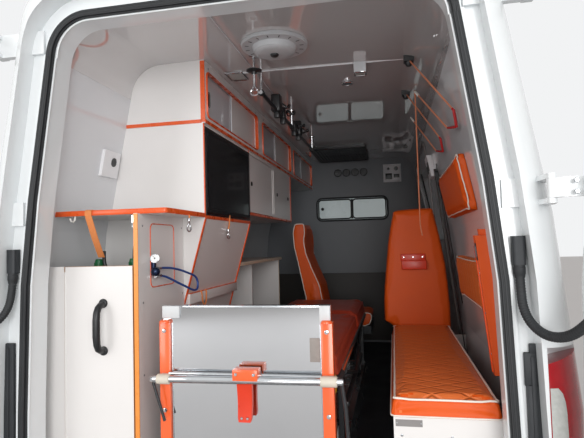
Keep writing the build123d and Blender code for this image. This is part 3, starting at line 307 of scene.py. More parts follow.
# Oxygen hose: blue PVC hose that loops from one chromed nipple of the regulator to the other.
# Extruded soft PVC has an even, half gloss surface, and each end is held by a crimped sleeve.
def round_line(name, points, radius, material):
    """Round cord on one smooth curve, riding with the body."""
    curve = steered_curve(name, points, 16)
    curve.bevel_depth = radius
    curve.bevel_resolution = 4
    curve.use_fill_caps = True
    curve.materials.append(material)
    thing = add_object(name, curve)
    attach(thing, "compartment")
    return thing


hose_blue = finish("blue_pvc_hose", "#1F4F9E", "#163C7A", patch=40, rough=0.3, grain=0.6, relief=0.04)
steel_chrome = finish(
    "chromed_steel", "#E2E4E6", "#C6C9CC", patch=60, rough=0.1, spread=0.03, relief=0, Metallic=1.0,
)
oxygen_route = [
    place(*point)
    for point in (
        (-0.4207, 0.2823, 0.900),
        (-0.4207, 0.325, 0.900),
        (-0.410, 0.378, 0.896),
        (-0.397, 0.432, 0.885),
        (-0.386, 0.480, 0.870),
        (-0.380, 0.512, 0.861),
        (-0.375, 0.540, 0.849),
        (-0.372, 0.553, 0.829),
        (-0.370, 0.549, 0.806),
        (-0.369, 0.530, 0.793),
        (-0.373, 0.498, 0.796),
        (-0.383, 0.445, 0.817),
        (-0.396, 0.400, 0.836),
        (-0.410, 0.358, 0.856),
        (-0.4207, 0.322, 0.869),
        (-0.4207, 0.2823, 0.872),
    )
]
oxygen_line = round_line("regulator_hose", oxygen_route, 0.0045, hose_blue)
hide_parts("oxygen_hose")
sleeve_form = bmesh.new()
for start in (oxygen_route[0], oxygen_route[-1]):
    spans = (0.0005, 0.002, 0.003, 0.011, 0.012, 0.019, 0.020)
    sleeve_radii = (0.0050, 0.0056, 0.0051, 0.0051, 0.0056, 0.0054, 0.0047)
    pipe(sleeve_form, [start + Vector((0, span, 0)) for span in spans], sleeve_radii, around=20)
hose_sleeves = piece("hose_sleeves", sleeve_form, steel_chrome)

# Drip strap: a thin salmon cord that hangs plumb from the tip of the rear drip bail, its end turned aside.
# Braided polyester is matt, with a fine slanting braid.
strap_salmon = finish(
    "braided_polyester_cord", "#D98A66", "#B86A48", patch=4, rough=0.75, grain=1.2, relief=0.4,
)
strap_route = [
    place(0.592, 0.933, 1.6797),
    place(0.592, 0.933, 1.640),
    place(0.592, 0.933, 1.085),
    place(0.592, 0.933, 1.045),
    place(0.600, 0.933, 1.002),
]
strap_line = round_line("drip_strap", strap_route, 0.003, strap_salmon)
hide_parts("bail_strap")

# Body shell: steel panels of the van body, pressed, spot welded and sprayed in white two-layer enamel.
# The clear coat is glossy, with the faint orange peel of sprayed paint.
body_enamel = finish(
    "white_body_enamel", "#E6EAEC", "#DDE2E4", patch=400, rough=0.2, grain=2.5, relief=0.02, Coat_Weight=0.5
)
for shell_node in (
    "rear_frame", "wall_left", "wall_right", "sliding_door", "roof", "door_left", "door_right",
):
    dress(shell_node, body_enamel)

# Window glass: tempered safety glass, body tinted green-grey, set in the rear doors and the sliding door.
# Float glass is flat and very smooth, so its reflections are sharp.
tinted_glass = finish(
    "tinted_safety_glass",
    "#3A454A",
    "#39434A",
    patch=500,
    rough=0.03,
    spread=0.01,
    relief=0,
    Coat_Weight=0.3,
    Transmission_Weight=0.55,
)
for glass_node in ("sliding_glass", "door_left_glass", "door_right_glass"):
    dress(glass_node, tinted_glass)


def rounded(u0, u1, v0, v1, radius, steps=5):
    """Outline of a rectangle with rounded corners."""
    points = []
    corners = ((u1 - radius, v1 - radius), (u0 + radius, v1 - radius), (u0 + radius, v0 + radius))
    for turn, (u, v) in enumerate((*corners, (u1 - radius, v0 + radius))):
        for k in range(steps + 1):
            angle = math.pi / 2 * (turn + k / steps)
            points.append((u + radius * math.cos(angle), v + radius * math.sin(angle)))
    return points


def band(form, path, normal, width, proud, closed=False, flip=1):
    """Edge band with a rounded face that follows a board's edge. The normal is the board's own."""
    count = len(path)
    section = (
        (-0.5, -0.12), (-0.5, 0.55), (-0.36, 0.9), (-0.15, 1.0), (0.15, 1.0), (0.36, 0.9), (0.5, 0.55),
        (0.5, -0.12),
    )
    rings = []
    for i, point in enumerate(path):
        before = path[i - 1] if closed or i else None
        after = path[(i + 1) % count] if closed or i + 1 < count else None
        ways = []
        if before is not None:
            ways.append((point - before).normalized())
        if after is not None:
            ways.append((after - point).normalized())
        outs = [way.cross(normal).normalized() * flip for way in ways]
        out = sum(outs, Vector((0, 0, 0))).normalized()
        out = out / max(out.dot(outs[0]), 0.3)
        rings.append([form.verts.new(point + normal * (a * width) + out * (b * proud)) for a, b in section])
    join_rings(form, rings, closed)


def slabs(form, rows, edge=0.0015, segments=2):
    """Blocks between pairs of limits, with their edges rounded."""
    for (x0, x1), (y0, y1), (z0, z1) in rows:
        made = bmesh.ops.create_cube(form, size=1)["verts"]
        low, high = place(x0, y0, z0), place(x1, y1, z1)
        for vert in made:
            vert.co = Vector([low[i] + (high[i] - low[i]) * (vert.co[i] + 0.5) for i in range(3)])
        if edge:
            edges = list({e for vert in made for e in vert.link_edges})
            bmesh.ops.bevel(form, geom=edges, offset=edge, segments=segments, affect="EDGES", profile=0.5)


def turned(form, at, axis, profile, around=24):
    """Turned part from rows of distance along its axis and radius, both ends closed."""
    axis = axis.normalized()
    side = axis.orthogonal().normalized()
    over = axis.cross(side)
    rings = []
    for along, radius in profile:
        ring = []
        for k in range(around):
            turn = 2 * math.pi * k / around
            out = side * math.cos(turn) + over * math.sin(turn)
            ring.append(form.verts.new(at + axis * along + out * radius))
        rings.append(ring)
    join_rings(form, rings)


X, Y, Z = Vector((1, 0, 0)), Vector((0, 1, 0)), Vector((0, 0, 1))

# Bulb seal: black EPDM rubber profile pressed on the flange round the rear doorway.
# It is extruded, so it is matt, with two smooth ribs where the doors close on it.
seal_rubber = finish("black_epdm_seal", "#26292C", "#1C1E20", patch=80, rough=0.55, grain=1.0, relief=0.12)
dress("rear_seal", seal_rubber, body_enamel)


doorway_halves = ((-0.010, 0.765), (0.430, 0.763), (0.860, 0.752), (1.150, 0.724))
corner_x, corner_z = 0.528, 1.641


def doorway_line(grow):
    """Points round the rear doorway, from the lower left corner over the top, drawn larger by grow."""
    side = [(half + grow, z) for z, half in (*doorway_halves, (1.640, 0.6545))]
    corner = []
    for k in range(9):
        angle = math.pi / 2 * k / 8
        across = corner_x + (0.1225 + grow) * math.cos(angle) ** 0.97
        corner.append((across, corner_z + (0.123 + grow) * math.sin(angle)))
    right_half = side + corner
    left_half = [(-x, z) for x, z in right_half]
    return left_half + right_half[::-1]


def beyond_doorway(point):
    """How far a point lies outside the doorway's edge, for telling the seal's lip from its painted flange."""
    across, z = abs(point.x), point.z
    if z > corner_z:
        return math.hypot(max(across - corner_x, 0), z - corner_z) - 0.1228
    rows = (*doorway_halves, (corner_z, 0.6545))
    for (z0, x0), (z1, x1) in zip(rows, rows[1:]):
        if z <= z1:
            return across - (x0 + (x1 - x0) * (z - z0) / (z1 - z0))
    return 0.0


dress_faces(
    "rear_seal", 1, lambda middle, normal: -0.010 < middle.y < -0.004 and beyond_doorway(middle) > 0.0215,
)
dress_faces("rear_seal", 1, lambda middle, normal: beyond_doorway(middle) > 0.034)
rib_form = bmesh.new()
for grow in (0.011, 0.021):
    pipe(rib_form, [place(x, -0.0125, z) for x, z in doorway_line(grow)], 0.0032, around=8)
piece("seal_ribs", rib_form, seal_rubber, sharp=60)
flange_form = bmesh.new()
pipe(flange_form, [place(x, 0.004, z) for x, z in doorway_line(-0.0015)], 0.0035, around=8)
piece("doorway_flange_lip", flange_form, body_enamel, sharp=60)

# Rear step and lower trim: black polypropylene mouldings clipped under the doorway.
# The moulded grain keeps them matt, and feet have scuffed the tread grey.
moulded_black = finish(
    "black_moulded_polypropylene",
    "#202326",
    "#2C2F33",
    patch=90,
    rough=0.55,
    spread=0.12,
    grain=1.6,
    relief=0.25,
)
dress("rear_step", moulded_black)
dress("black_trim", moulded_black)
pillar_form = bmesh.new()
slabs(
    pillar_form,
    [
        ((-0.851, -0.8055), (-0.0142, -0.0008), (0.240, 0.668)),
        ((0.812, 0.8475), (-0.0142, -0.0008), (0.240, 0.580)),
    ],
    edge=0.003,
)
slabs(
    pillar_form,
    [
        ((0.8055, 0.8475), (-0.0142, -0.0008), (0.572, 0.664)),
        ((0.8200, 0.8475), (-0.0142, -0.0008), (0.660, 0.688)),
    ],
    edge=0.003,
)
slabs(
    pillar_form,
    [
        ((0.822, 0.834), (-0.0175, -0.0140), (0.250, 0.655)),
        ((-0.834, -0.822), (-0.0175, -0.0140), (0.250, 0.655)),
    ],
    edge=0.0015,
)
piece("pillar_mouldings", pillar_form, moulded_black)
tread_form = bmesh.new()
tread_rows = []
for k in range(9):
    y = -0.292 + k * 0.022
    for x0, x1 in ((-0.86, -0.31), (-0.29, 0.29), (0.31, 0.86)):
        tread_rows.append(((x0, x1), (y, y + 0.009), (-0.0935, -0.0885)))
slabs(tread_form, tread_rows, edge=0.0012, segments=1)
piece("step_tread_ribs", tread_form, moulded_black)

# Underframe: welded steel sections, dipped in primer and sprayed with black cavity wax.
# The wax dries to a soft uneven gloss, with brown dirt in it.
cavity_wax = finish(
    "black_cavity_wax", "#2B2C2E", "#3A3733", patch=70, rough=0.55, spread=0.15, grain=3, relief=0.3,
)
dress("underframe", cavity_wax)

# Tail lamps and beacons: injection moulded acrylic lenses, red over clear behind the doors, blue on the roof.
# Acrylic is glossy and deep, and moulded prisms inside it break up the light.
lens_red = finish(
    "red_acrylic_lens", "#B0101C", "#8E0C16", patch=30, rough=0.07, grain=4, relief=0.15, Coat_Weight=0.6,
)
lens_blue = finish(
    "blue_acrylic_lens", "#1440B8", "#0E2E8C", patch=30, rough=0.07, grain=4, relief=0.15, Coat_Weight=0.6,
)
lens_clear = finish(
    "clear_acrylic_lens", "#C9CCC8", "#A9ADAA", patch=12, rough=0.1, grain=3, relief=0.3, Coat_Weight=0.6,
)
dress("outer_lamps", lens_red, lens_clear, lens_blue)
dress_faces("outer_lamps", 2, lambda middle, normal: middle.z > 1.5)
lamp_mesh = nodes["outer_lamps"].data
lamp_faces = [tuple(face.vertices) for face in lamp_mesh.polygons]
lamp_skin = BVHTree.FromPolygons([vert.co.copy() for vert in lamp_mesh.vertices], lamp_faces)
lens_inner_x = 0.8515
lens_edge = (
    (0.240, 0.892), (0.300, 0.8925), (0.380, 0.893), (0.460, 0.893), (0.520, 0.892), (0.550, 0.8895),
    (0.572, 0.883), (0.586, 0.872),
)
lower_lens_form = bmesh.new()
for side in (-1, 1):
    rows = []
    for z, outer_x in lens_edge:
        row = []
        for k in range(7):
            behind = place(side * (lens_inner_x + (outer_x - lens_inner_x) * k / 6), -0.3, z)
            row.append(lower_lens_form.verts.new(lamp_skin.ray_cast(behind, Y)[0] - Y * 0.0012))
        rows.append(row)
    for low, high in zip(rows, rows[1:]):
        for k in range(6):
            lower_lens_form.faces.new((low[k], low[k + 1], high[k + 1], high[k]))
piece("tail_lamp_lower_lenses", lower_lens_form, lens_clear)

# Doors: pressed inner skins with a rubber gasket at the window, black handles and zinc plated hinge bolts.
# At rest both stand folded back half a turn, so their inner side faces the rear.
zinc = finish(
    "zinc_plated_steel", "#B9BCC0", "#9EA1A3", patch=12, rough=0.32, grain=1, relief=0.08, Metallic=1.0,
)
for side, word in ((-1, "left"), (1, "right")):
    body = f"door_{word}"
    gasket_form = bmesh.new()
    glass_low, glass_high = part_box(f"door_{word}_glass")
    hole = rounded(
        glass_low.x - 0.004, glass_high.x + 0.004, glass_low.z - 0.004, glass_high.z + 0.004, 0.09,
    )
    for y in (glass_low.y - 0.004, glass_high.y + 0.004):
        pipe(gasket_form, [Vector((u, y, v)) for u, v in hole], 0.0075, around=8, closed=True)
    piece(f"door_window_gasket_{word}", gasket_form, seal_rubber, body=body, sharp=60)
    latch_form = bmesh.new()
    edge_x = side * 1.700
    slabs(
        latch_form, [(sorted((edge_x - side * 0.05, edge_x)), (-0.212, -0.199), (0.76, 0.90))], edge=0.004,
    )
    slabs(
        latch_form,
        [(sorted((edge_x - side * 0.16, edge_x - side * 0.04)), (-0.232, -0.214), (0.81, 0.85))],
        edge=0.006,
    )
    piece(f"door_latch_{word}", latch_form, moulded_black, body=body)
    bolt_form = bmesh.new()
    for height in (0.155, 1.105, 1.695):
        for dz in (-0.014, 0.014):
            for x in (0.915, 0.945):
                at = place(side * x, -0.1535, height + dz)
                turned(
                    bolt_form, at, -Y, ((0, 0.0075), (0.003, 0.0075), (0.0045, 0.006), (0.0046, 0.002)),
                    around=6,
                )
    piece(f"hinge_bolts_{word}", bolt_form, zinc, body=body)

# Interior linings: glass fibre panels with a white gel coat, glued to the walls and the roof.
# Gel coat comes off a polished mould, so the ceiling mirrors the lamps and lockers softly.
gel_coat = finish(
    "white_gel_coat", "#DFE1E4", "#D2D4D8", patch=500, rough=0.13, grain=6, relief=0.015, Coat_Weight=0.4,
)
ceiling_coat = finish(
    "polished_ceiling_gel_coat", "#D2D0D0", "#C6C4C5", patch=500, rough=0.05, spread=0.02, relief=0,
    Coat_Weight=1.0, Coat_IOR=2.1, Coat_Roughness=0.012,
)
dress("lining_left", gel_coat)
dress("lining_right", gel_coat)
dress("lining_ceiling", ceiling_coat)
grey_trim = finish("grey_pvc_profile", "#8E8B8A", "#7C7978", patch=80, rough=0.4, grain=1, relief=0.08)
trim_form = bmesh.new()
door_post_line = ((0.741, 0.02), (0.741, 0.6), (0.738, 1.0), (0.712, 1.30), (0.688, 1.56))
side_door_line = [(x, 1.822, z) for x, z in door_post_line]
side_door_line += [(0.680, 1.84, 1.612), (0.678, 1.88, 1.628), (0.678, 3.02, 1.628), (0.680, 3.06, 1.612)]
side_door_line += [(x, 3.078, z) for x, z in door_post_line[::-1]]
pipe(trim_form, [place(*point) for point in side_door_line], 0.006, around=8)
piece("side_door_trim", trim_form, grey_trim, sharp=60)
seam_form = bmesh.new()
pipe(seam_form, [place(-0.150, 0.12, 1.8005), place(-0.150, 3.49, 1.8005)], 0.003, around=8)
pipe(seam_form, [place(-0.225, 0.758, 1.8000), place(0.540, 0.777, 1.8000)], 0.0045, around=8)
piece("ceiling_joint_strips", seam_form, gel_coat, sharp=60)

# Floor: dark safety vinyl on plywood, turned up at the walls, with a fine grit rolled into it.
# The grit keeps it dull, and shoes have polished paths in it.
safety_vinyl = finish(
    "dark_safety_vinyl", "#1E2126", "#2A2D33", patch=160, rough=0.5, spread=0.15, grain=1.2, relief=0.35,
)
dress("floor_pan", safety_vinyl)

# Bulkhead: grey thermoformed ABS over the steel partition, with a sliding window in a rubber frame.
# Formed ABS has a fine satin grain, and it stands in the shade of the lockers.
formed_abs = finish("grey_formed_abs", "#7C8084", "#70747A", patch=300, rough=0.42, grain=1.4, relief=0.08)
dark_abs_and_shade = finish("dark_formed_abs_and_painted_shade", "#4A4744", "#3F3C3A", patch=200, rough=0.5, grain=1.4, relief=0.08)
dress("bulkhead", formed_abs)
# The dark brown sheet over the lower bulkhead is painted shade: it darkens the lower part, which lies in
# shadow.
lower_form = bmesh.new()
slabs(lower_form, [((-0.735, 0.735), (3.492, 3.4998), (0.02, 0.676))], edge=0.002)
piece("bulkhead_lower_shade_panel", lower_form, dark_abs_and_shade)
# The frosted pane's faint emission is painted light: it glows like daylight from the cab behind it, though it
# is no lamp.
frosted = finish(
    "frosted_float_glass_painted_glow", "#AEBAC0", "#9AA7AE", patch=200, rough=0.28, grain=1, relief=0.03,
    Coat_Weight=0.2, Emission_Color=colour("#B4BEBC"), Emission_Strength=0.3,
)
dress("bulkhead_window", frosted, seal_rubber)
window_form = bmesh.new()
for u0, u1 in ((-0.262, 0.064), (0.080, 0.404)):
    hole = rounded(u0, u1, 1.217, 1.408, 0.030)
    pipe(window_form, [place(u, 3.4935, v) for u, v in hole], 0.007, around=8, closed=True)
rim = rounded(-0.279, 0.421, 1.200, 1.425, 0.050)
pipe(window_form, [place(u, 3.494, v) for u, v in rim], 0.009, around=8, closed=True)
slabs(window_form, [((0.062, 0.082), (3.488, 3.4995), (1.215, 1.41))], edge=0.002)
piece("bulkhead_window_frame", window_form, seal_rubber, sharp=60)
knob_form = bmesh.new()
turned(
    knob_form, place(-0.222, 3.4935, 1.318), -Y,
    ((0, 0.010), (0.006, 0.008), (0.007, 0.015), (0.014, 0.015), (0.016, 0.012)),
)
piece("window_slide_knob", knob_form, moulded_black)

# Oxygen locker: melamine faced boards, milled on a router, with orange PVC edging hot glued on.
# Melamine is smooth with a dull shine, and the edging is a little glossier and rounded over.
melamine = finish(
    "white_melamine_board", "#E6E4E3", "#DCDAD8", patch=350, rough=0.3, grain=1.5, relief=0.03,
)
edging_orange = finish(
    "orange_pvc_edging", "#E8612A", "#D9531F", patch=60, rough=0.28, grain=1, relief=0.04,
)
for board_node in ("oxygen_locker", "oxygen_door", "screen_cabinet", "overhead_lockers", "overhead_shelf"):
    dress(board_node, melamine)
edging_pale = finish(
    "pale_orange_pvc_edging", "#EE9A48", "#E68C3A", patch=60, rough=0.28, grain=1, relief=0.04,
)
upright_form = bmesh.new()
band(upright_form, [place(-0.442, 0.150, 0.004), place(-0.442, 0.150, 1.104)], X, 0.0165, 0.0045)
piece("locker_upright_edging", upright_form, edging_pale, sharp=50)
edge_form = bmesh.new()
shelf_path = [
    (-0.842, 0.1780), (-0.660, 0.1702), (-0.342, 0.1748), (-0.3365, 0.1772), (-0.3345, 0.1840),
    (-0.3342, 0.547),
]
band(edge_form, [place(x, y, 1.1138) for x, y in shelf_path], Z, 0.0195, 0.0048)
piece("locker_edging", edge_form, edging_orange, sharp=50)
door_edge_form = bmesh.new()
door_rim = [
    place(x, 0.1535, z)
    for x, z in ((-0.7262, 0.0195), (-0.4535, 0.0195), (-0.4535, 0.9165), (-0.7262, 0.9165))
]
band(door_edge_form, door_rim, Y, 0.0155, 0.0012, closed=True, flip=-1)
edge_tape = finish("brown_edge_tape", "#A87A50", "#96683F", patch=40, rough=0.4, grain=1, relief=0.04)
piece("locker_door_edging", door_edge_form, edge_tape, body="oxygen_door", sharp=50)
sleeve_white = finish("white_pvc_sleeve", "#F0EFEB", "#E2E0DA", patch=30, rough=0.35, grain=1, relief=0.04)
handle_plastic = finish(
    "black_nylon_handle", "#121416", "#1B1D20", patch=50, rough=0.4, grain=1, relief=0.15,
)
grip_form = bmesh.new()
grip_line = (
    (0.1440, 0.618), (0.1250, 0.619), (0.1120, 0.626), (0.1040, 0.642), (0.1005, 0.670), (0.1005, 0.728),
    (0.1040, 0.754), (0.1120, 0.769), (0.1250, 0.777), (0.1440, 0.779),
)
grip_radii = (0.0125, 0.0118, 0.0118, 0.0122, 0.0130, 0.0130, 0.0122, 0.0118, 0.0118, 0.0125)
pipe(grip_form, [place(-0.569, y, z) for y, z in grip_line], grip_radii, around=20)
for z in (0.614, 0.783):
    turned(
        grip_form, place(-0.569, 0.1458, z), -Y, ((0, 0.0165), (0.004, 0.0165), (0.007, 0.0135)), around=24,
    )
locker_grip = piece("locker_door_grip", grip_form, handle_plastic, body="oxygen_door", sharp=50)
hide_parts("oxygen_handle")

# Oxygen cylinders: two steel flasks in green enamel, their valves under ribbed caps, with a blue regulator.
# The dial of its gauge is white enamel behind a chromed bezel, and an orange webbing strap holds the flasks.
cylinder_enamel = finish(
    "green_cylinder_enamel", "#0E6B3C", "#0A5630", patch=60, rough=0.28, grain=1, relief=0.1,
)
regulator_blue = finish(
    "dark_blue_anodised_aluminium", "#1A2B4A", "#14213A", patch=40, rough=0.25, grain=1, relief=0.05,
    Metallic=0.6,
)
gauge_white = finish("white_dial_enamel", "#EEF0F0", "#E4E6E8", patch=30, rough=0.35, relief=0)
cylinder_xs = (-0.682, -0.533)
shell_rows = (
    (0.017, 0.0480), (0.019, 0.0560), (0.026, 0.0620), (0.036, 0.0640), (0.700, 0.0640), (0.800, 0.0630),
    (0.835, 0.0580), (0.858, 0.0480), (0.874, 0.0350), (0.884, 0.0240), (0.886, 0.0230),
)
shell_form = bmesh.new()
for x in cylinder_xs:
    turned(shell_form, place(x, 0.300, 0.0), Z, shell_rows, around=44)
shells = piece("oxygen_cylinder_shells", shell_form, cylinder_enamel, sharp=40)
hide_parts("oxygen_cylinders")
cap_radius = 0.0173
cap_form = bmesh.new()
for x in cylinder_xs:
    turned(
        cap_form, place(x, 0.300, 0.884), Z,
        ((0, 0.0165), (0.008, 0.0180), (0.046, 0.0172), (0.055, 0.014), (0.056, 0.007)),
    )
    for k in range(12):
        turn = 2 * math.pi * k / 12
        across, along_y = cap_radius * math.cos(turn), cap_radius * math.sin(turn)
        at = place(x + across, 0.300 + along_y, 0.892)
        pipe(cap_form, [at, at + Z * 0.034], 0.0022, around=6)
piece("cylinder_valve_caps", cap_form, cylinder_enamel, sharp=40)
regulator_form = bmesh.new()
slabs(regulator_form, [((-0.4336, -0.4170), (0.243, 0.262), (0.874, 0.946))], edge=0.005, segments=3)
facing = Vector((0.4, -0.9, 0.1)).normalized()
ball_rows = [
    (0.0172 * math.sin(k * math.pi / 14), 0.0172 * math.cos(k * math.pi / 14)) for k in range(-3, 7)
]
turned(regulator_form, place(-0.4125, 0.2420, 0.8890), facing, ((-0.012, 0.0150), *ball_rows), around=32)
piece("regulator_body", regulator_form, regulator_blue, sharp=50)
gauge_form = bmesh.new()
gauge_at = place(-0.4140, 0.2400, 0.9380)
bezel_rows = (
    (-0.012, 0.0155), (-0.010, 0.0168), (0.006, 0.0172), (0.0085, 0.0166), (0.0090, 0.0142), (0.0075, 0.0140),
)
turned(gauge_form, gauge_at, facing, bezel_rows, around=36)
for z in (0.900, 0.872):
    turned(
        gauge_form, place(-0.4207, 0.256, z), Y,
        ((0, 0.0086), (0.012, 0.0086), (0.0125, 0.0064), (0.0262, 0.0062)), around=6,
    )
piece("gauge_bezel", gauge_form, steel_chrome, sharp=40)
dial_form = bmesh.new()
turned(dial_form, gauge_at + facing * 0.0072, facing, ((0, 0.0140), (0.0006, 0.0140)), around=32)
piece("gauge_dial", dial_form, gauge_white, sharp=40)
needle_form = bmesh.new()
needle_at = gauge_at + facing * 0.0084
needle_tail = needle_at - facing.cross(Z) * 0.003
needle_point = needle_at + (facing.cross(Z) * 0.6 + Z * 0.8) * 0.0125
pipe(needle_form, [needle_tail, needle_point], [0.0009, 0.0004], around=6)
turned(needle_form, needle_at, facing, ((-0.0004, 0.0026), (0.0006, 0.0022)), around=12)
piece("gauge_needle", needle_form, handle_plastic)
strap_orange = finish(
    "orange_polyester_webbing", "#E8955A", "#D97E44", patch=8, rough=0.75, grain=1.6, relief=0.6,
)
webbing_form = bmesh.new()
web_line = [
    (-0.639, 0.200, 1.1240), (-0.639, 0.1660, 1.1243), (-0.639, 0.1615, 1.1200), (-0.639, 0.1610, 1.104),
    (-0.640, 0.205, 1.020), (-0.641, 0.250, 0.947),
]
band_rows = []
web_section = ((-0.0135, 0), (0.0135, 0), (0.0135, 0.0016), (-0.0135, 0.0016))
for x, y, z in web_line:
    band_rows.append([webbing_form.verts.new(place(x + dx, y + dy, z + dy)) for dx, dy in web_section])
join_rings(webbing_form, band_rows)
piece("cylinder_strap", webbing_form, strap_orange)
key_tube_form = bmesh.new()
key_tube_line = (
    (-0.6485, 0.281, 0.970), (-0.6465, 0.277, 0.950), (-0.6425, 0.272, 0.930), (-0.6390, 0.273, 0.912),
)
pipe(key_tube_form, [place(*point) for point in key_tube_line], 0.007, around=12)
piece("cylinder_key_tube", key_tube_form, handle_plastic, sharp=60)

# Shelf fittings: a white coated hook and a sprung clip under the shelf, and a black pipe from a cylinder.
# Zinc plated screws hold the boards, and the hatch in the side has its own edging.
hanging_form = bmesh.new()
hook_line = [
    (-0.706, 0.182, 1.104), (-0.706, 0.180, 1.090), (-0.708, 0.172, 1.082), (-0.710, 0.162, 1.086),
    (-0.711, 0.158, 1.096),
]
pipe(hanging_form, [place(*point) for point in hook_line], 0.0034, around=10)
piece("shelf_hook", hanging_form, sleeve_white, sharp=60)
spring_form = bmesh.new()
slabs(
    spring_form,
    [
        ((-0.474, -0.462), (0.178, 0.1805), (1.058, 1.1042)),
        ((-0.474, -0.462), (0.178, 0.188), (1.056, 1.0585)),
    ],
    edge=0.0008,
)
piece("shelf_spring_clip", spring_form, steel_chrome)
tube_form = bmesh.new()
tube_line = (
    (-0.533, 0.300, 0.935), (-0.533, 0.302, 0.975), (-0.535, 0.330, 1.030), (-0.560, 0.420, 1.075),
    (-0.60, 0.525, 1.085),
)
pipe(tube_form, [place(*point) for point in tube_line], 0.005, around=10)
piece("cylinder_supply_pipe", tube_form, handle_plastic, sharp=60)
screw_form = bmesh.new()
screw_rows = ((0, 0.0042), (0.0008, 0.0040), (0.0016, 0.0026))
for z in (0.10, 0.52, 0.78, 1.06):
    turned(screw_form, place(-0.4338, 0.186, z), X, screw_rows, around=14)
    turned(screw_form, place(-0.4338, 0.530, z), X, screw_rows, around=14)
for x, y in ((-0.60, 0.25), (-0.46, 0.25), (-0.60, 0.5), (-0.46, 0.5)):
    turned(screw_form, place(x, y, 1.1228), Z, screw_rows, around=14)
piece("locker_screws", screw_form, zinc)
cutout_form = bmesh.new()
hatch = rounded(0.245, 0.450, 0.830, 1.070, 0.022)
pipe(cutout_form, [place(-0.4337, u, v) for u, v in hatch], 0.0024, around=6, closed=True)
piece("locker_hatch_edging", cutout_form, edging_orange, sharp=60)

# Screen cabinet: the same boards, with a smoked acrylic flap on a long hinge and a sloping fascia below.
# Cast acrylic is flame polished, so it is a dark mirror. Its rim is printed black.
smoked = finish(
    "smoked_cast_acrylic", "#2E2E30", "#272729", patch=300, rough=0.16, spread=0.03, relief=0,
    Coat_Weight=0.2, Transmission_Weight=0.25,
)
dress("screen_flap", smoked)
rim_form = bmesh.new()
frame_rim = rounded(0.563, 1.237, 1.121, 1.503, 0.022)
inner_rim = rounded(0.588, 1.212, 1.146, 1.478, 0.012)
outer = [rim_form.verts.new(place(-0.3272, u, v)) for u, v in frame_rim]
inner = [rim_form.verts.new(place(-0.3272, u, v)) for u, v in inner_rim]
for k in range(len(outer)):
    rim_form.faces.new((outer[k], outer[(k + 1) % len(outer)], inner[(k + 1) % len(outer)], inner[k]))
flap_rim = piece("flap_printed_rim", rim_form, handle_plastic, body="screen_flap")
solid = flap_rim.modifiers.new("thickness", "SOLIDIFY")
solid.thickness = 0.0008
cab_edge_form = bmesh.new()
band(cab_edge_form, [place(-0.342, 0.5525, 1.124), place(-0.342, 0.5525, 1.518)], X, 0.0155, 0.004)
band(cab_edge_form, [place(-0.3340, 0.556, 1.1075), place(-0.3340, 1.244, 1.1075)], Z, 0.0155, 0.0045)
for y in (1.2455, 0.5545):
    band(cab_edge_form, [place(-0.3340, y, 1.115), place(-0.3340, y, 1.518)], Y, 0.010, 0.004, flip=-1)
for y in (0.558, 1.242):
    side_edge = [place(-0.334, y, 1.098), place(-0.504, y, 0.500), place(-0.504, y, 0.004)]
    band(cab_edge_form, side_edge, Y, 0.0155, 0.0045)
piece("screen_cabinet_edging", cab_edge_form, edging_orange, sharp=50)
foot_form = bmesh.new()
slabs(foot_form, [((-0.446, -0.414), (0.566, 1.236), (0.726, 0.7715))], edge=0.0015)
piece("fascia_foot_board", foot_form, melamine)
foot_edge_form = bmesh.new()
band(
    foot_edge_form, [place(-0.4225, 0.568, 0.7712), place(-0.4225, 1.234, 0.7712)], X, 0.0170, 0.0035,
    flip=-1,
)
piece("fascia_foot_edging", foot_edge_form, edging_orange, sharp=50)
clip_form = bmesh.new()
for x, y, z, size in ((-0.330, 0.370, 1.082, 1.35), (-0.336, 0.870, 1.050, 1.15)):
    link = []
    for k in range(12):
        turn = k * math.pi / 6
        drop = (0.016 + 0.015 * math.cos(turn)) * size
        link.append(place(x + 0.0035 * math.sin(2 * turn), y + 0.0095 * size * math.sin(turn), z - drop))
    pipe(clip_form, link, 0.0034, around=8, closed=True)
    turned(clip_form, place(x, y, z - 0.002), Z, ((0, 0.0052), (0.010, 0.0058), (0.014, 0.004)), around=14)
piece("snap_hooks", clip_form, steel_chrome, sharp=50)
loop_form = bmesh.new()
for points in (
    ((-0.3290, 0.370, 1.107), (-0.3280, 0.371, 1.098), (-0.330, 0.370, 1.084)),
    ((-0.3280, 0.870, 1.130), (-0.3275, 0.869, 1.105), (-0.332, 0.871, 1.075), (-0.336, 0.870, 1.055)),
    (
        (-0.4130, 0.690, 0.777), (-0.4095, 0.692, 0.764), (-0.4090, 0.700, 0.722), (-0.4085, 0.722, 0.702),
        (-0.4090, 0.744, 0.722), (-0.4095, 0.748, 0.764), (-0.4130, 0.748, 0.777),
    ),
):
    pipe(loop_form, [place(*point) for point in points], 0.0036, around=8)
piece("hook_loops", loop_form, strap_orange, sharp=60)

# Overhead lockers: a long melamine face with three rounded bays, each with orange edging pushed in its rim.
# The sliding panes are white cast acrylic, flat and glossy.
white_acrylic = finish(
    "white_cast_acrylic", "#D3D4D8", "#C6C7CC", patch=300, rough=0.08, spread=0.02, relief=0,
    Coat_Weight=0.4,
)
dress("overhead_lockers", melamine, white_acrylic)
dress_faces("overhead_lockers", 1, lambda middle, normal: middle.x < -0.3402 and middle.z > 1.5368)
for number in (1, 2, 3):
    dress(f"overhead_pane_{number}", white_acrylic)
bay_form = bmesh.new()
for y0, y1 in ((0.573, 1.421), (1.540, 2.415), (2.538, 3.470)):
    rim = [place(-0.3270, u, v) for u, v in rounded(y0, y1, 1.552, 1.757, 0.028)]
    band(bay_form, rim, X, 0.0165, 0.0035, closed=True)
    band(bay_form, rim, X, 0.0200, 0.0020, closed=True, flip=-1)
piece("overhead_bay_edging", bay_form, edging_orange, sharp=50)
over_edge_form = bmesh.new()
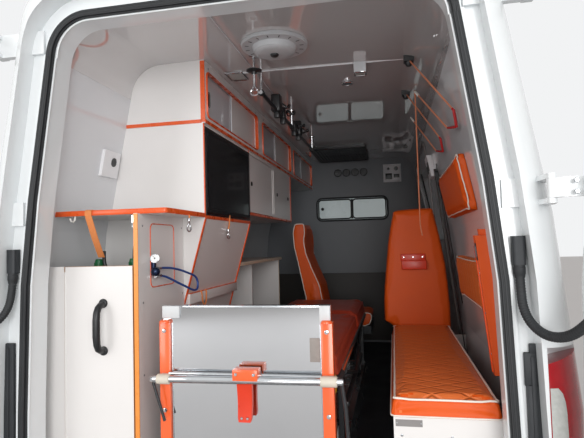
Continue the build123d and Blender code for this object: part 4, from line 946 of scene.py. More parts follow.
band(over_edge_form, [place(-0.3330, 0.5485, 1.524), place(-0.3330, 0.5485, 1.797)], X, 0.0205, 0.004)
band(over_edge_form, [place(-0.3240, 0.552, 1.528), place(-0.3240, 3.496, 1.528)], Z, 0.0155, 0.004)
band(over_edge_form, [place(-0.340, 0.5485, 1.528), place(-0.700, 0.5485, 1.528)], Z, 0.0155, 0.004)
piece("overhead_edging", over_edge_form, edging_orange, sharp=50)
over_screw_form = bmesh.new()
for y in (0.60, 1.39, 1.57, 2.385, 2.57):
    turned(
        over_screw_form, place(-0.3238, y, 1.775), X, ((0, 0.006), (0.0012, 0.006), (0.0018, 0.0045)),
        around=18,
    )
piece("overhead_screws", over_screw_form, zinc)
for number, y in ((1, 0.665), (2, 1.570), (3, 2.568)):
    pull_form = bmesh.new()
    pull = rounded(y - 0.0115, y + 0.0115, 1.6195, 1.6895, 0.011)
    pipe(pull_form, [place(-0.3473, u, v) for u, v in pull], 0.0021, around=8, closed=True)
    slabs(
        pull_form, [((-0.3492, -0.3476), (y - 0.010, y + 0.010), (1.621, 1.688))], edge=0.0004, segments=1,
    )
    piece(f"pane_pull_{number}", pull_form, handle_plastic, body=f"overhead_pane_{number}", sharp=60)

# Tall locker and worktop: the same boards, with orange edging on the door, and black round locks.
# The worktop's face is a harder high pressure laminate with a fine pearl grain.
high_pressure_laminate = finish(
    "high_pressure_laminate", "#D5CEC8", "#C7BFB8", patch=60, rough=0.38, grain=0.9, relief=0.1,
)
dress("tall_locker", melamine)
dress("tall_door", melamine)
dress("worktop", high_pressure_laminate, melamine)
dress_faces("worktop", 1, lambda middle, normal: middle.z < 0.8595)
tall_form = bmesh.new()
band(tall_form, [place(-0.3335, 1.256, 1.158), place(-0.3335, 2.428, 1.158)], Z, 0.0155, 0.004)
band(tall_form, [place(-0.3335, 2.4215, 1.16), place(-0.3335, 2.4215, 1.515)], Y, 0.0155, 0.004, flip=-1)
band(tall_form, [place(-0.342, 2.4305, 1.17), place(-0.342, 2.4305, 1.51)], X, 0.0155, 0.003, flip=-1)
piece("tall_locker_edging", tall_form, edging_orange, sharp=50)
edging_cream = finish("cream_pvc_edging", "#D8C9B4", "#CBBBA5", patch=60, rough=0.3, grain=1, relief=0.04)
top_edge_form = bmesh.new()
band(top_edge_form, [place(-0.3990, 1.254, 0.870), place(-0.3990, 2.318, 0.870)], Z, 0.0195, 0.0045)
band(
    top_edge_form, [place(-0.3990, 2.3205, 0.870), place(-0.800, 2.3205, 0.870)], Z, 0.0195, 0.0045,
    flip=-1,
)
band(top_edge_form, [place(-0.4145, 2.289, 0.004), place(-0.4145, 2.289, 0.858)], Y, 0.0175, 0.004, flip=-1)
piece("worktop_edging", top_edge_form, edging_cream, sharp=50)
door_trim_form = bmesh.new()
door_frame = [
    place(-0.3420, u, v)
    for u, v in ((1.2545, 1.1695), (1.8390, 1.1695), (1.8390, 1.4995), (1.2545, 1.4995))
]
band(door_trim_form, door_frame, X, 0.0155, 0.0008, closed=True)
piece("tall_door_edging", door_trim_form, edging_orange, body="tall_door", sharp=50)
lock_rows = ((0, 0.013), (0.003, 0.013), (0.005, 0.010), (0.0052, 0.004))
key_form = bmesh.new()
turned(key_form, place(-0.3340, 1.300, 1.335), X, lock_rows)
slabs(key_form, [((-0.3295, -0.3280), (1.2988, 1.3012), (1.330, 1.340))], edge=0.0002, segments=1)
piece("tall_door_lock", key_form, handle_plastic, body="tall_door")
lock_form = bmesh.new()
for y in (1.95, 2.32):
    turned(lock_form, place(-0.3340, y, 1.33), X, lock_rows)
piece("tall_locker_locks", lock_form, handle_plastic)

# Ceiling fittings: moulded ABS vent dome and lamp housings, and black louvres in the air grille.
# Moulded ABS has an even satin surface. The lamp faces are clear acrylic, ribbed inside.
satin_abs = finish(
    "grey_white_moulded_abs", "#C6C9CC", "#B8BBBE", patch=120, rough=0.35, grain=1.2, relief=0.08,
)
black_abs = finish("black_moulded_abs", "#1B1D1F", "#26282A", patch=80, rough=0.35, grain=1.2, relief=0.12)
dress("air_outlets", satin_abs, black_abs)
dress_faces("air_outlets", 1, lambda middle, normal: middle.y > 2.5)
dress("ceiling_lamps", lens_clear, satin_abs)
dress_faces("ceiling_lamps", 1, lambda middle, normal: abs(normal.z) < 0.5)
vent_x, vent_y = 0.014, 0.470
dome_form = bmesh.new()
dome_rows = (
    (0.0, 0.1345), (0.004, 0.1375), (0.012, 0.1365), (0.016, 0.126), (0.0165, 0.101), (0.010, 0.097),
    (0.014, 0.092), (0.030, 0.088), (0.040, 0.079), (0.0445, 0.060), (0.0455, 0.02),
)
turned(dome_form, place(vent_x, vent_y, 1.8045), -Z, dome_rows, around=56)
piece("vent_dome", dome_form, satin_abs, sharp=35)
vent_knob_form = bmesh.new()
turned(
    vent_knob_form, place(vent_x, vent_y, 1.7600), -Z,
    ((0, 0.018), (0.006, 0.017), (0.010, 0.013), (0.0105, 0.004)), around=24,
)
for k in range(16):
    turn = 2 * math.pi * k / 16
    way = Vector((math.cos(turn), math.sin(turn), 0))
    at = place(vent_x, vent_y, 1.7885) + way * 0.114
    pipe(vent_knob_form, [at - way * 0.008, at + way * 0.008], 0.0022, around=6)
piece("vent_knob_and_slots", vent_knob_form, black_abs, sharp=50)
louvre_form = bmesh.new()
louvre_rows = []
for k in range(17):
    x = -0.198 + k * 0.0273
    for y0, y1 in ((2.705, 3.02), (3.04, 3.355)):
        louvre_rows.append(((x, x + 0.010), (y0, y1), (1.7700, 1.7785)))
slabs(louvre_form, louvre_rows, edge=0.002, segments=1)
piece("grille_louvres", louvre_form, black_abs)
grille_form = bmesh.new()
grille_rim = [place(u, v, 1.7765) for u, v in rounded(-0.211, 0.253, 2.694, 3.366, 0.012)]
pipe(grille_form, grille_rim, 0.007, around=8, closed=True)
piece("grille_frame", grille_form, black_abs, sharp=60)
outlet_xs, outlet_z, vane_step = (-0.057, 0.028, 0.113, 0.198), 1.675, 0.0095
outlet_rows = (
    (-0.011, 0.0385), (0.001, 0.0380), (0.004, 0.034), (0.0042, 0.030), (-0.002, 0.029), (-0.0021, 0.002),
)
outlet_form = bmesh.new()
for x in outlet_xs:
    turned(outlet_form, place(x, 3.4880, outlet_z), -Y, outlet_rows, around=32)
piece("bulkhead_outlet_rings", outlet_form, black_abs, sharp=35)
vane_form = bmesh.new()
vane_rows = []
for x in outlet_xs:
    for k in (-2, -1, 0, 1, 2):
        half = math.sqrt(0.027**2 - (vane_step * k) ** 2)
        z = outlet_z + vane_step * k
        vane_rows.append(((x - half, x + half), (3.4850, 3.4895), (z - 0.0028, z + 0.0028)))
slabs(vane_form, vane_rows, edge=0.0006, segments=1)
piece("bulkhead_outlet_vanes", vane_form, black_abs)
ring_form = bmesh.new()
ring_rows = ((-0.006, 0.0295), (0.003, 0.030), (0.006, 0.027), (0.0062, 0.021), (0.004, 0.020))
turned(ring_form, place(0.262, 1.035, 1.7935), -Z, ring_rows, around=36)
for x0, x1, y0, y1, z in ((-0.293, -0.210, 0.741, 0.849, 1.7975), (0.318, 0.369, 0.762, 0.813, 1.7535)):
    rim = [place(u, v, z) for u, v in rounded(x0, x1, y0, y1, 0.008)]
    pipe(ring_form, rim, 0.004, around=8, closed=True)
piece("ceiling_lamp_rims", ring_form, steel_chrome, sharp=40)

# Infusion rail: chromed steel tube under the ceiling, with black moulded hangers and a chromed bottle holder.
# Chrome is a sharp mirror, so it shows the dark ceiling and the bright doorway.
dress("ceiling_rail", steel_chrome)
rail_x, rail_z = -0.124, 1.700
foot_cup_form = bmesh.new()
for y in (1.500, 2.285):
    turned(
        foot_cup_form, place(rail_x, y, 1.8005), -Z,
        ((0, 0.024), (0.006, 0.023), (0.010, 0.012), (0.088, 0.0100)), around=24,
    )
piece("rail_posts", foot_cup_form, steel_chrome, sharp=45)
hanger_form = bmesh.new()
rail_clad = [place(rail_x, y, rail_z) for y in (0.763, 2.298)]
pipe(hanger_form, rail_clad, 0.0105, around=16)
for y in (0.765, 1.490, 2.285):
    turned(
        hanger_form, place(rail_x, y, rail_z), Y,
        ((0, 0.0130), (0.003, 0.0150), (0.017, 0.0150), (0.020, 0.0130)), around=24,
    )
for y, size in ((1.090, 1.0), (1.235, 0.62), (1.560, 0.62), (1.700, 1.0)):
    across, along_y = 0.026 * size, 0.030 * size
    head = ((rail_x - across, rail_x + across), (y - along_y, y + along_y), (1.686, rail_z + 0.082 * size))
    stem = ((rail_x - 0.014, rail_x + 0.014), (y - 0.014, y + 0.014), (1.655, 1.694))
    slabs(hanger_form, [head], edge=0.010 * size, segments=3)
    slabs(hanger_form, [stem], edge=0.005)
    wire = []
    for k in range(16):
        turn = 2 * math.pi * k / 16
        centre = place(-0.085, y + 0.045, 1.728)
        wire.append(
            centre + Vector((0.024 * math.cos(turn), 0.024 * math.sin(turn), 0.012 * math.sin(2 * turn)))
        )
    pipe(hanger_form, wire, 0.0042, around=8, closed=True)
    pipe(hanger_form, [place(rail_x, y, 1.725), place(-0.100, y + 0.026, 1.726)], [0.007, 0.005], around=10)
piece("rail_hangers", hanger_form, black_abs, sharp=45)
holder_x, holder_y = -0.101, 0.566
holder_form = bmesh.new()
turned(
    holder_form, place(holder_x, holder_y, 1.802), -Z,
    ((0, 0.022), (0.006, 0.020), (0.008, 0.0065), (0.078, 0.0060)), around=24,
)
pipe(holder_form, [place(holder_x, holder_y, 1.724), place(holder_x, holder_y, 1.660)], 0.0065, around=12)
turned(
    holder_form, place(holder_x, holder_y, 1.664), -Z,
    ((0, 0.008), (0.003, 0.0135), (0.012, 0.0135), (0.016, 0.009)), around=20,
)
eye = []
for k in range(24):
    turn = 2 * math.pi * k / 24
    eye.append(place(holder_x + 0.017 * math.cos(turn), holder_y, 1.640 + 0.014 * math.sin(turn)))
pipe(holder_form, eye, 0.0032, around=8, closed=True)
piece("bottle_holder", holder_form, steel_chrome, sharp=40)
disc_form = bmesh.new()
turned(
    disc_form, place(holder_x, holder_y, 1.738), -Z,
    ((0, 0.010), (0.001, 0.034), (0.005, 0.034), (0.010, 0.012), (0.018, 0.010)), around=32,
)
piece("bottle_holder_stop", disc_form, black_abs, sharp=40)

# Drip bails: bent steel rods powder coated salmon, in black brackets, with red dipped ends and white tips.
# Powder coat is satin with a fine peel, and the dipped PVC is glossier.
bail_coat = finish("salmon_powder_coat", "#D98A66", "#C97A58", patch=60, rough=0.4, grain=1, relief=0.06)
dipped_red = finish("red_dipped_pvc", "#C8282A", "#A81E22", patch=30, rough=0.25, grain=1, relief=0.04)
dress("drip_bails", bail_coat, black_abs)
dress_faces("drip_bails", 1, lambda middle, normal: middle.z > 1.7695 and 0.53 < middle.x < 0.585)
tip_form = bmesh.new()
red_form = bmesh.new()
bracket_form = bmesh.new()
foot_bend = (
    (0.6955, -0.3412, 1.4605),
    (0.699, -0.350, 1.452),
    (0.7075, -0.3275, 1.4120),
    (0.7100, -0.3200, 1.3985),
    (0.7070, -0.2970, 1.4020),
    (0.6990, -0.2330, 1.4142),
    (0.6935, -0.1890, 1.4235),
)
foot_radii = (0.0048, 0.0056, 0.0056, 0.0058, 0.0056, 0.0054, 0.0048)
for y in (0.743, 1.266):
    pipe(red_form, [place(x, y + ahead_y, z) for x, ahead_y, z in foot_bend], foot_radii, around=14)
    top = place(0.592, y + 0.190, 1.690)
    way = (place(0.692, y - 0.180, 1.425) - top).normalized()
    tip_line = [top - way * 0.004, top, top + way * 0.058, top + way * 0.060]
    pipe(tip_form, tip_line, (0.0045, 0.0056, 0.0056, 0.0040), around=14)
    turned(
        bracket_form, place(0.560, y, 1.769), -Z,
        ((0, 0.017), (0.008, 0.016), (0.018, 0.010), (0.0185, 0.006)), around=24,
    )
piece("bail_foot_sleeves", red_form, dipped_red, sharp=50)
piece("bail_tip_sleeves", tip_form, sleeve_white, sharp=50)
piece("bail_brackets", bracket_form, black_abs)

# Switch and socket plates: moulded white ABS covers screwed to the wall and bulkhead, with black inserts.
# The covers are satin, the displays are smooth dark acrylic with nothing on them.
cover_white = finish(
    "white_moulded_abs_cover", "#ECECEE", "#E2E2E5", patch=80, rough=0.3, grain=1.2, relief=0.06,
)
dress("control_panels", cover_white)
plate_form = bmesh.new()
dark_form = bmesh.new()
turned(dark_form, place(0.515, 3.4795, 1.690), -Y, ((0, 0.021), (0.009, 0.019), (0.0095, 0.006)), around=28)
turned(dark_form, place(0.440, 3.4795, 1.690), -Y, ((0, 0.014), (0.004, 0.013), (0.0042, 0.005)), around=24)
slabs(
    dark_form,
    [((0.410, 0.475), (3.4765, 3.4795), (1.585, 1.645)), ((0.490, 0.545), (3.4765, 3.4795), (1.60, 1.635))],
    edge=0.002,
)
piece("bulkhead_panel_inserts", dark_form, black_abs)
slabs(plate_form, [((0.396, 0.556), (3.4775, 3.4800), (1.566, 1.729))], edge=0.006)
piece("bulkhead_panel_face", plate_form, cover_white)


def wall_x(z):
    """Distance of the right lining from the middle at a height over the floor."""
    rows = ((0.110, 0.8448), (0.510, 0.8468), (1.050, 0.7948), (1.795, 0.6488))
    for (z0, x0), (z1, x1) in zip(rows, rows[1:]):
        if z <= z1:
            return x0 + (x1 - x0) * (z - z0) / (z1 - z0)
    return rows[-1][1]


def on_wall(side, y, z, out):
    """Point a distance out from the left or right lining."""
    return place(side * (wall_x(z) - out), y, z)


def wall_plate(form, side, y0, y1, z0, z1, out0, out1, radius=0.006):
    """Rounded plate that lies on the sloping lining, between two distances out from it."""
    outline = rounded(y0, y1, z0, z1, radius)
    low = [form.verts.new(on_wall(side, u, v, out0)) for u, v in outline]
    high = [form.verts.new(on_wall(side, u, v, out1)) for u, v in outline]
    join_rings(form, [low, high])


insert_form = bmesh.new()
for y0, y1, z0, z1 in ((1.635, 1.700, 1.405, 1.455), (1.715, 1.785, 1.395, 1.440)):
    wall_plate(insert_form, 1, y0, y1, z0, z1, 0.026, 0.031)
wall_plate(insert_form, -1, 0.458, 0.494, 1.336, 1.374, 0.0125, 0.0165, radius=0.017)
wall_plate(insert_form, 1, 2.55, 2.60, 1.05, 1.50, 0.001, 0.012, radius=0.01)
piece("wall_socket_inserts", insert_form, black_abs)

# Orange upholstery: foam on plywood under stretched PVC leathercloth, with white piping sewn in its seams.
# Coated cloth has a fine pressed grain and a soft sheen, and the quilted panels are sewn through in diamonds.
leathercloth = finish(
    "orange_pvc_leathercloth",
    "#E05A12",
    "#D4500C",
    patch=110,
    rough=0.46,
    spread=0.07,
    grain=1.3,
    relief=0.22,
    Specular_IOR_Level=0.28,
)
piping_white = finish("white_pvc_piping", "#F1ECE4", "#E2D8CC", patch=40, rough=0.4, grain=1, relief=0.05)


def quilted(name, turn):
    """Leathercloth sewn through in 60 mm diamonds, on a surface that turns brings flat."""
    # Its orange is paler than the plain leathercloth's as painted light, for the sky light that falls on the
    # bench top; the lower wall cushion takes the same paler colour.
    material = finish(
        name, "#EA7A3C", "#DC6C30", patch=110, rough=0.42, spread=0.07, grain=1.3, relief=0.22,
    )
    tree = material.node_tree
    where = add_node(tree, "ShaderNodeTexCoord").outputs["Object"]
    heights = []
    for lean in (math.radians(58), math.radians(-58)):
        flat = add_node(tree, "ShaderNodeMapping", [("Vector", where)], Rotation=turn)
        slant = add_node(
            tree, "ShaderNodeMapping", [("Vector", flat.outputs["Vector"])], Rotation=(0, 0, lean),
        )
        wave = add_node(
            tree, "ShaderNodeTexWave", [("Vector", slant.outputs["Vector"])], Scale=math.pi / 10 / 0.060,
        )
        wave.bands_direction = "X"
        ramp = add_node(tree, "ShaderNodeMapRange", [("Value", wave.outputs["Fac"])])
        ramp.inputs["From Max"].default_value = 0.12
        heights.append(ramp.outputs["Result"])
    both = add_node(tree, "ShaderNodeMath", operation="MINIMUM")
    tree.links.new(heights[0], both.inputs[0])
    tree.links.new(heights[1], both.inputs[1])
    sewn = add_node(tree, "ShaderNodeBump", [("Height", both.outputs[0])], Strength=1.0, Distance=0.0050)
    shader = tree.nodes["Principled BSDF"]
    grain = shader.inputs["Normal"].links[0].from_node
    tree.links.new(sewn.outputs["Normal"], grain.inputs["Normal"])
    return material


def stuffed(name, outline, thick, lift, voxel=0.007, cap=0.012, fix_back=True):
    """Foam pad blown up in its cover by cloth simulation. Returns its points and faces, flat on its back."""
    inset = 0.004
    middle = (sum(u for u, _ in outline) / len(outline), sum(v for _, v in outline) / len(outline))
    form = bmesh.new()
    rows = ((0.0, 0.0), (0.15, 0.0), (0.8, 0.0), (0.94, 0.35), (1.0, 1.0))
    rings = []
    for share, pull in rows:
        drawn = inset + pull * 0.35 * thick
        ring = []
        for u, v in outline:
            way = Vector((middle[0] - u, middle[1] - v, 0))
            signs = [math.copysign(min(drawn, abs(way[i])), way[i]) for i in (0, 1)]
            ring.append(form.verts.new((u + signs[0], v + signs[1], share * (thick - lift))))
        rings.append(ring)
    join_rings(form, rings)
    mesh = bpy.data.meshes.new(name)
    form.to_mesh(mesh)
    form.free()
    pad = add_object(name, mesh)
    remesh = pad.modifiers.new("remesh", "REMESH")
    remesh.mode = "VOXEL"
    remesh.voxel_size = voxel
    bpy.context.view_layer.update()
    even = bpy.data.meshes.new_from_object(pad.evaluated_get(bpy.context.evaluated_depsgraph_get()))
    pad.modifiers.clear()
    pad.data = even
    start = [vert.co.copy() for vert in even.vertices]
    if fix_back:
        back = pad.vertex_groups.new(name="back")
        back.add([i for i, co in enumerate(start) if co.z < voxel * 0.7], 1.0, "REPLACE")
    cloth = pad.modifiers.new("cloth", "CLOTH")
    cloth.settings.use_pressure = True
    cloth.settings.uniform_pressure_force = 4
    cloth.settings.effector_weights.gravity = 0
    cloth.settings.quality = 4
    cloth.settings.tension_stiffness = 20
    cloth.settings.compression_stiffness = 20
    cloth.settings.bending_stiffness = 1
    if fix_back:
        cloth.settings.vertex_group_mass = "back"
    steps = 16
    cloth.point_cache.frame_start = 1
    cloth.point_cache.frame_end = steps
    for step in range(1, steps + 1):
        bpy.context.scene.frame_set(step)
    blown = bpy.data.meshes.new_from_object(pad.evaluated_get(bpy.context.evaluated_depsgraph_get()))
    bpy.context.scene.frame_set(1)
    ends = [vert.co.copy() for vert in blown.vertices]
    bpy.data.meshes.remove(blown)
    points = []
    for one, two in zip(start, ends):
        move = two - one
        if move.length > cap:
            move = move * (cap / move.length)
        co = one + move
        points.append(Vector((co.x, co.y, min(max(co.z, 0.0), thick))))
    faces = [tuple(face.vertices) for face in even.polygons]
    bpy.data.objects.remove(pad)
    bpy.data.meshes.remove(even)
    bpy.data.meshes.remove(mesh)
    return points, faces


def cover(name, points, faces, to_place, material, body, node=None):
    """Padded piece made from blown up points, brought to its place, with one subdivision."""
    form = bmesh.new()
    verts = [form.verts.new(to_place(*co)) for co in points]
    for face in faces:
        form.faces.new([verts[i] for i in face])
    pad = piece(name, form, material, body=body, sharp=180)
    smooth = pad.modifiers.new("smooth", "SUBSURF")
    smooth.levels = smooth.render_levels = 1
    if node:
        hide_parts(node)
    return pad


def seam(form, points, faces, line, to_place, radius, sink=0.25):
    """Piping that follows the pad's own surface near a line of points."""
    tree = BVHTree.FromPolygons(points, faces)
    path = []
    for point in line:
        near, normal, _, _ = tree.find_nearest(Vector(point))
        path.append(to_place(*(near + normal * radius * (1 - sink))))
    pipe(form, path, radius, around=8, closed=True)


def along(outline, inset, height, step=0.02):
    """Points a step apart on an outline drawn smaller by an inset, at a height."""
    middle = (sum(u for u, _ in outline) / len(outline), sum(v for _, v in outline) / len(outline))
    ring = []
    for u, v in outline:
        way = (middle[0] - u, middle[1] - v)
        ring.append(
            Vector([c + math.copysign(min(inset, abs(w)), w) for c, w in zip((u, v), way)] + [height])
        )
    points = []
    for one, two in zip(ring, ring[1:] + ring[:1]):
        count = max(1, round((two - one).length / step))
        points += [one.lerp(two, k / count) for k in range(count)]
    return points


# Wall cushions: two foam pads screwed through the lining, the lower one quilted.
# White piping runs round the front seam of each.
quilt_wall = quilted("quilted_wall_leathercloth", (0, math.radians(90), 0))
side_form = bmesh.new()


def to_wall(u, v, w):
    """Place on the right lining for a cushion's point."""
    return on_wall(1, u, v, w + 0.0006)


for word, y0, y1, z0, z1, material in (
    ("upper", 0.500, 1.250, 1.085, 1.320, leathercloth),
    ("lower", 0.480, 1.180, 0.690, 0.905, quilt_wall),
):
    outline = rounded(y0, y1, z0, z1, 0.022)
    points, faces = stuffed(f"wall_pad_{word}", outline, 0.040, 0.006)
    cover(f"wall_cushion_{word}", points, faces, to_wall, material, "compartment")
    seam(side_form, points, faces, along(outline, 0.006, 0.034), to_wall, radius=0.0028)
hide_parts("side_cushions")
piece("wall_cushion_piping", side_form, piping_white, sharp=60)

# Bench end post: folded sheet steel in orange enamel, screwed beside the doorway, with a chromed catch.
# Enamel is sprayed thick and baked, so its folds catch a bright line of light.
orange_enamel = finish(
    "orange_baked_enamel", "#F76B35", "#EE5F2A", patch=150, rough=0.22, grain=4, relief=0.02,
    Coat_Weight=0.4,
)
post_form = bmesh.new()
wall_plate(post_form, 1, 0.338, 0.382, 0.508, 0.992, 0.001, 0.056, radius=0.004)
wall_plate(post_form, 1, 0.370, 0.382, 0.514, 0.940, 0.054, 0.0590, radius=0.002)
wall_plate(post_form, 1, 0.350, 0.372, 0.992, 1.014, 0.001, 0.040, radius=0.003)
piece("bench_end_post", post_form, orange_enamel, sharp=40)
recess_form = bmesh.new()
wall_plate(recess_form, 1, 0.3430, 0.3650, 0.905, 0.965, 0.0555, 0.0582, radius=0.003)
piece("post_catch_recess", recess_form, black_abs)
post_catch_form = bmesh.new()
wall_plate(post_catch_form, 1, 0.348, 0.360, 0.915, 0.955, 0.0578, 0.0620, radius=0.003)
for z in (0.580, 0.720, 0.860):
    turned(
        post_catch_form, on_wall(1, 0.354, z, 0.0555), -X, ((0, 0.0042), (0.001, 0.0040), (0.002, 0.0024)),
        around=14,
    )
piece("post_catch", post_catch_form, steel_chrome)

# Bench: a melamine box with a hinged lid, and on it one foam seat quilted on top, with a plain boxing strip.
# White piping runs in the top seam, and a blank grey plate is riveted to the box.
dress("bench_base", melamine)
quilt_bench_painted_light = quilted("quilted_bench_leathercloth_painted_light", (0, 0, 0))
bench_outline = rounded(0.4325, 0.7745, 0.1025, 1.4945, 0.016)
points, faces = stuffed("bench_pad", bench_outline, 0.0655, 0.005, voxel=0.009)


def to_bench(u, v, w):
    """Place on the bench's lid for a point of its pad."""
    return place(u, v, 0.4348 + w)


bench = cover("bench_cushion", points, faces, to_bench, leathercloth, "bench_seat", "bench_seat")
bench.data.materials.append(quilt_bench_painted_light)
# The top faces take the paler quilted cloth and the sides the plain one, so the top is painted lighter, as
# painted light falling on it.
for face in bench.data.polygons:
    face.material_index = 1 if face.normal.z > 0.8 else 0
pipe_form = bmesh.new()
seam(pipe_form, points, faces, along(bench_outline, 0.008, 0.062), to_bench, radius=0.0036)
seam(pipe_form, points, faces, along(bench_outline, 0.0, 0.004), to_bench, radius=0.0026, sink=0.7)
piece("bench_piping", pipe_form, piping_white, body="bench_seat", sharp=60)
label_form = bmesh.new()
slabs(label_form, [((0.452, 0.533), (0.1085, 0.1102), (0.407, 0.428))], edge=0.0005, segments=1)
piece("bench_blank_plate", label_form, grey_trim)
bench_screw_form = bmesh.new()
for x in (0.456, 0.529):
    turned(
        bench_screw_form, place(x, 0.1086, 0.4175), -Y, ((0, 0.0022), (0.0008, 0.002), (0.0012, 0.001)),
        around=12,
    )
for x in (0.470, 0.620, 0.760):
    for z in (0.035, 0.380):
        turned(
            bench_screw_form, place(x, 0.1102, z), -Y, ((0, 0.0045), (0.001, 0.0042), (0.0018, 0.0025)),
            around=14,
        )
piece("bench_screws", bench_screw_form, zinc)

# Backrest: a tall foam board behind the bench, covered in plain leathercloth, with a moulded red grab handle.
# Its cover is pulled tight to the back, so only the edges are soft.
back_outline = [
    (0.446, 0.302), (0.778, 0.302), (0.778, 0.620), (0.764, 0.830), (0.732, 1.020), (0.701, 1.168),
]
back_outline += [
    (0.690, 1.1735), (0.476, 1.1645), (0.464, 1.158), (0.430, 0.985), (0.3925, 0.640), (0.3925, 0.507),
    (0.446, 0.482),
]
points, faces = stuffed("backrest_pad", back_outline, 0.0495, 0.003, voxel=0.009, cap=0.006)


def to_back(u, v, w):
    """Place behind the bench for a point of the backrest, which faces the rear."""
    return place(u, 1.5498 - w, v)


cover("backrest_board", points, faces, to_back, leathercloth, "compartment", "backrest")
handle_red = finish("red_moulded_handle", "#E03A14", "#C92F10", patch=60, rough=0.3, grain=1, relief=0.06)
grab_form = bmesh.new()
grab_rows = [
    ((0.503, 0.643), (1.4895, 1.5012), (0.858, 0.903)), ((0.507, 0.648), (1.4740, 1.4960), (0.812, 0.866)),
]
slabs(grab_form, grab_rows, edge=0.005, segments=3)
piece("backrest_grab_handle", grab_form, handle_red)
grab_screw_form = bmesh.new()
for x in (0.520, 0.573, 0.626):
    turned(
        grab_screw_form, place(x, 1.4893, 0.884), -Y, ((0, 0.0045), (0.001, 0.0042), (0.0022, 0.0025)),
        around=14,
    )
piece("grab_handle_screws", grab_screw_form, steel_chrome)

# Attendant seat: a moulded black shell on a chromed pedestal, with plain orange pads piped in white.
# The shell's pressed grain is dull, and the black buckles of its belts lie at its side.
dress("seat_pedestal", steel_chrome)
dress("seat_shell", moulded_black)
seat_y0, seat_y1 = 2.176, 2.624
back_profile = [
    (-0.1620, 0.482), (-0.2700, 0.960), (-0.2720, 1.060), (-0.2600, 1.125), (-0.248, 1.1345),
    (-0.196, 1.1345), (-0.184, 1.126),
]
back_profile += [
    (-0.1860, 1.060), (-0.1980, 1.000), (-0.1840, 0.910), (-0.1420, 0.800), (-0.080, 0.660),
    (-0.044, 0.482),
]
seat_profile = [
    (-0.078, 0.466), (-0.078, 0.372), (0.238, 0.372), (0.278, 0.376), (0.296, 0.420), (0.299, 0.452),
    (0.286, 0.4645),
]


def to_seat(u, v, w):
    """Place in the seat's shell for a point of its pads, which lie on their side."""
    return place(u, seat_y0 + w, v)


seat_pipe_form = bmesh.new()
for word, profile in (("back", back_profile), ("base", seat_profile)):
    width = seat_y1 - seat_y0
    points, faces = stuffed(f"seat_pad_{word}", profile, width, 0.0, voxel=0.009, cap=0.008, fix_back=False)
    cover(f"seat_pad_{word}", points, faces, to_seat, leathercloth, "attendant_seat")
    for height in (0.012, width - 0.012):
        seam(seat_pipe_form, points, faces, along(profile, 0.002, height), to_seat, radius=0.0034)
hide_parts("seat_cushions")
piece("seat_piping", seat_pipe_form, piping_white, body="attendant_seat", sharp=60)
belt_webbing = finish(
    "black_seat_belt_webbing", "#17181A", "#222427", patch=8, rough=0.6, grain=1.4, relief=0.5,
)
buckle_form = bmesh.new()
slabs(
    buckle_form,
    [((-0.050, 0.020), (2.188, 2.205), (0.462, 0.492)), ((0.090, 0.150), (2.188, 2.206), (0.360, 0.388))],
    edge=0.004,
)
piece("seat_belt_buckles", buckle_form, belt_webbing, body="attendant_seat")

# Stretcher table: a low stainless box with folded edges that holds the stretcher and the ramp's pivots.
# Brushed sheet has fine long scratches, and its welds are polished flat.
brushed_steel = finish(
    "brushed_stainless_sheet",
    "#C9CCCF",
    "#B4B8BB",
    patch=90,
    rough=0.26,
    grain=0.6,
    relief=0.05,
    Metallic=1.0,
)
dress("stretcher_table", brushed_steel)

# Loading ramp: two folded steel rails in orange enamel with a mirror polished stainless plate between them.
# It stands upright on its pivots. The plate is rolled bright, so it shows the pale floor with slight waves.
mirror_steel = finish(
    "mirror_polished_stainless",
    "#DCDEE0",
    "#D2D5D8",
    patch=220,
    rough=0.07,
    spread=0.02,
    grain=45,
    relief=0.012,
    Metallic=1.0,
)
dress("ramp_deck", mirror_steel)
dress("ramp_rails", orange_enamel)
ramp_rail_xs = (-0.344, 0.223)
post_face_form = bmesh.new()
for x0 in ramp_rail_xs:
    slabs(post_face_form, [((x0 - 0.0005, x0 + 0.0385), (0.1280, 0.1345), (0.040, 0.7195))], edge=0.003)
    turned(
        post_face_form, place(x0 + 0.019, 0.132, 0.7195), Z,
        ((-0.001, 0.0185), (0.004, 0.0180), (0.008, 0.013), (0.0085, 0.004)), around=28,
    )
piece("ramp_post_faces", post_face_form, orange_enamel, body="ramp")
post_bolt_form = bmesh.new()
for x0 in ramp_rail_xs:
    for z in (0.690, 0.420, 0.110):
        turned(
            post_bolt_form, place(x0 + 0.019, 0.1282, z), -Y,
            ((0, 0.0085), (0.0012, 0.0085), (0.0045, 0.0070), (0.0055, 0.003)), around=20,
        )
piece("ramp_post_bolts", post_bolt_form, steel_chrome, body="ramp")
latch_plastic = finish(
    "white_nylon_block", "#D2D5D7", "#C5C8CA", patch=60, rough=0.38, grain=1, relief=0.06,
)
latch_block_form = bmesh.new()
slabs(
    latch_block_form,
    [
        ((-0.335, -0.272), (0.1335, 0.1432), (0.733, 0.7745)),
        ((0.2185, 0.2545), (0.1335, 0.1432), (0.712, 0.7745)),
    ],
    edge=0.002,
)
piece("ramp_latch_blocks", latch_block_form, latch_plastic, body="ramp")
plate_edge_form = bmesh.new()
slabs(plate_edge_form, [((-0.262, 0.2195), (0.1395, 0.1432), (0.765, 0.7748))], edge=0.0015)
for x in (-0.3045, 0.2190):
    slabs(plate_edge_form, [((x - 0.001, x + 0.004), (0.1400, 0.1432), (0.086, 0.716))], edge=0.001)
piece("ramp_plate_folds", plate_edge_form, brushed_steel, body="ramp")
rivet_form = bmesh.new()
for x in (-0.235, -0.105, 0.025, 0.155):
    turned(
        rivet_form, place(x, 0.1398, 0.770), -Y, ((0, 0.0028), (0.0006, 0.0028), (0.0012, 0.0015)),
        around=12,
    )
piece("ramp_plate_rivets", rivet_form, zinc, body="ramp")

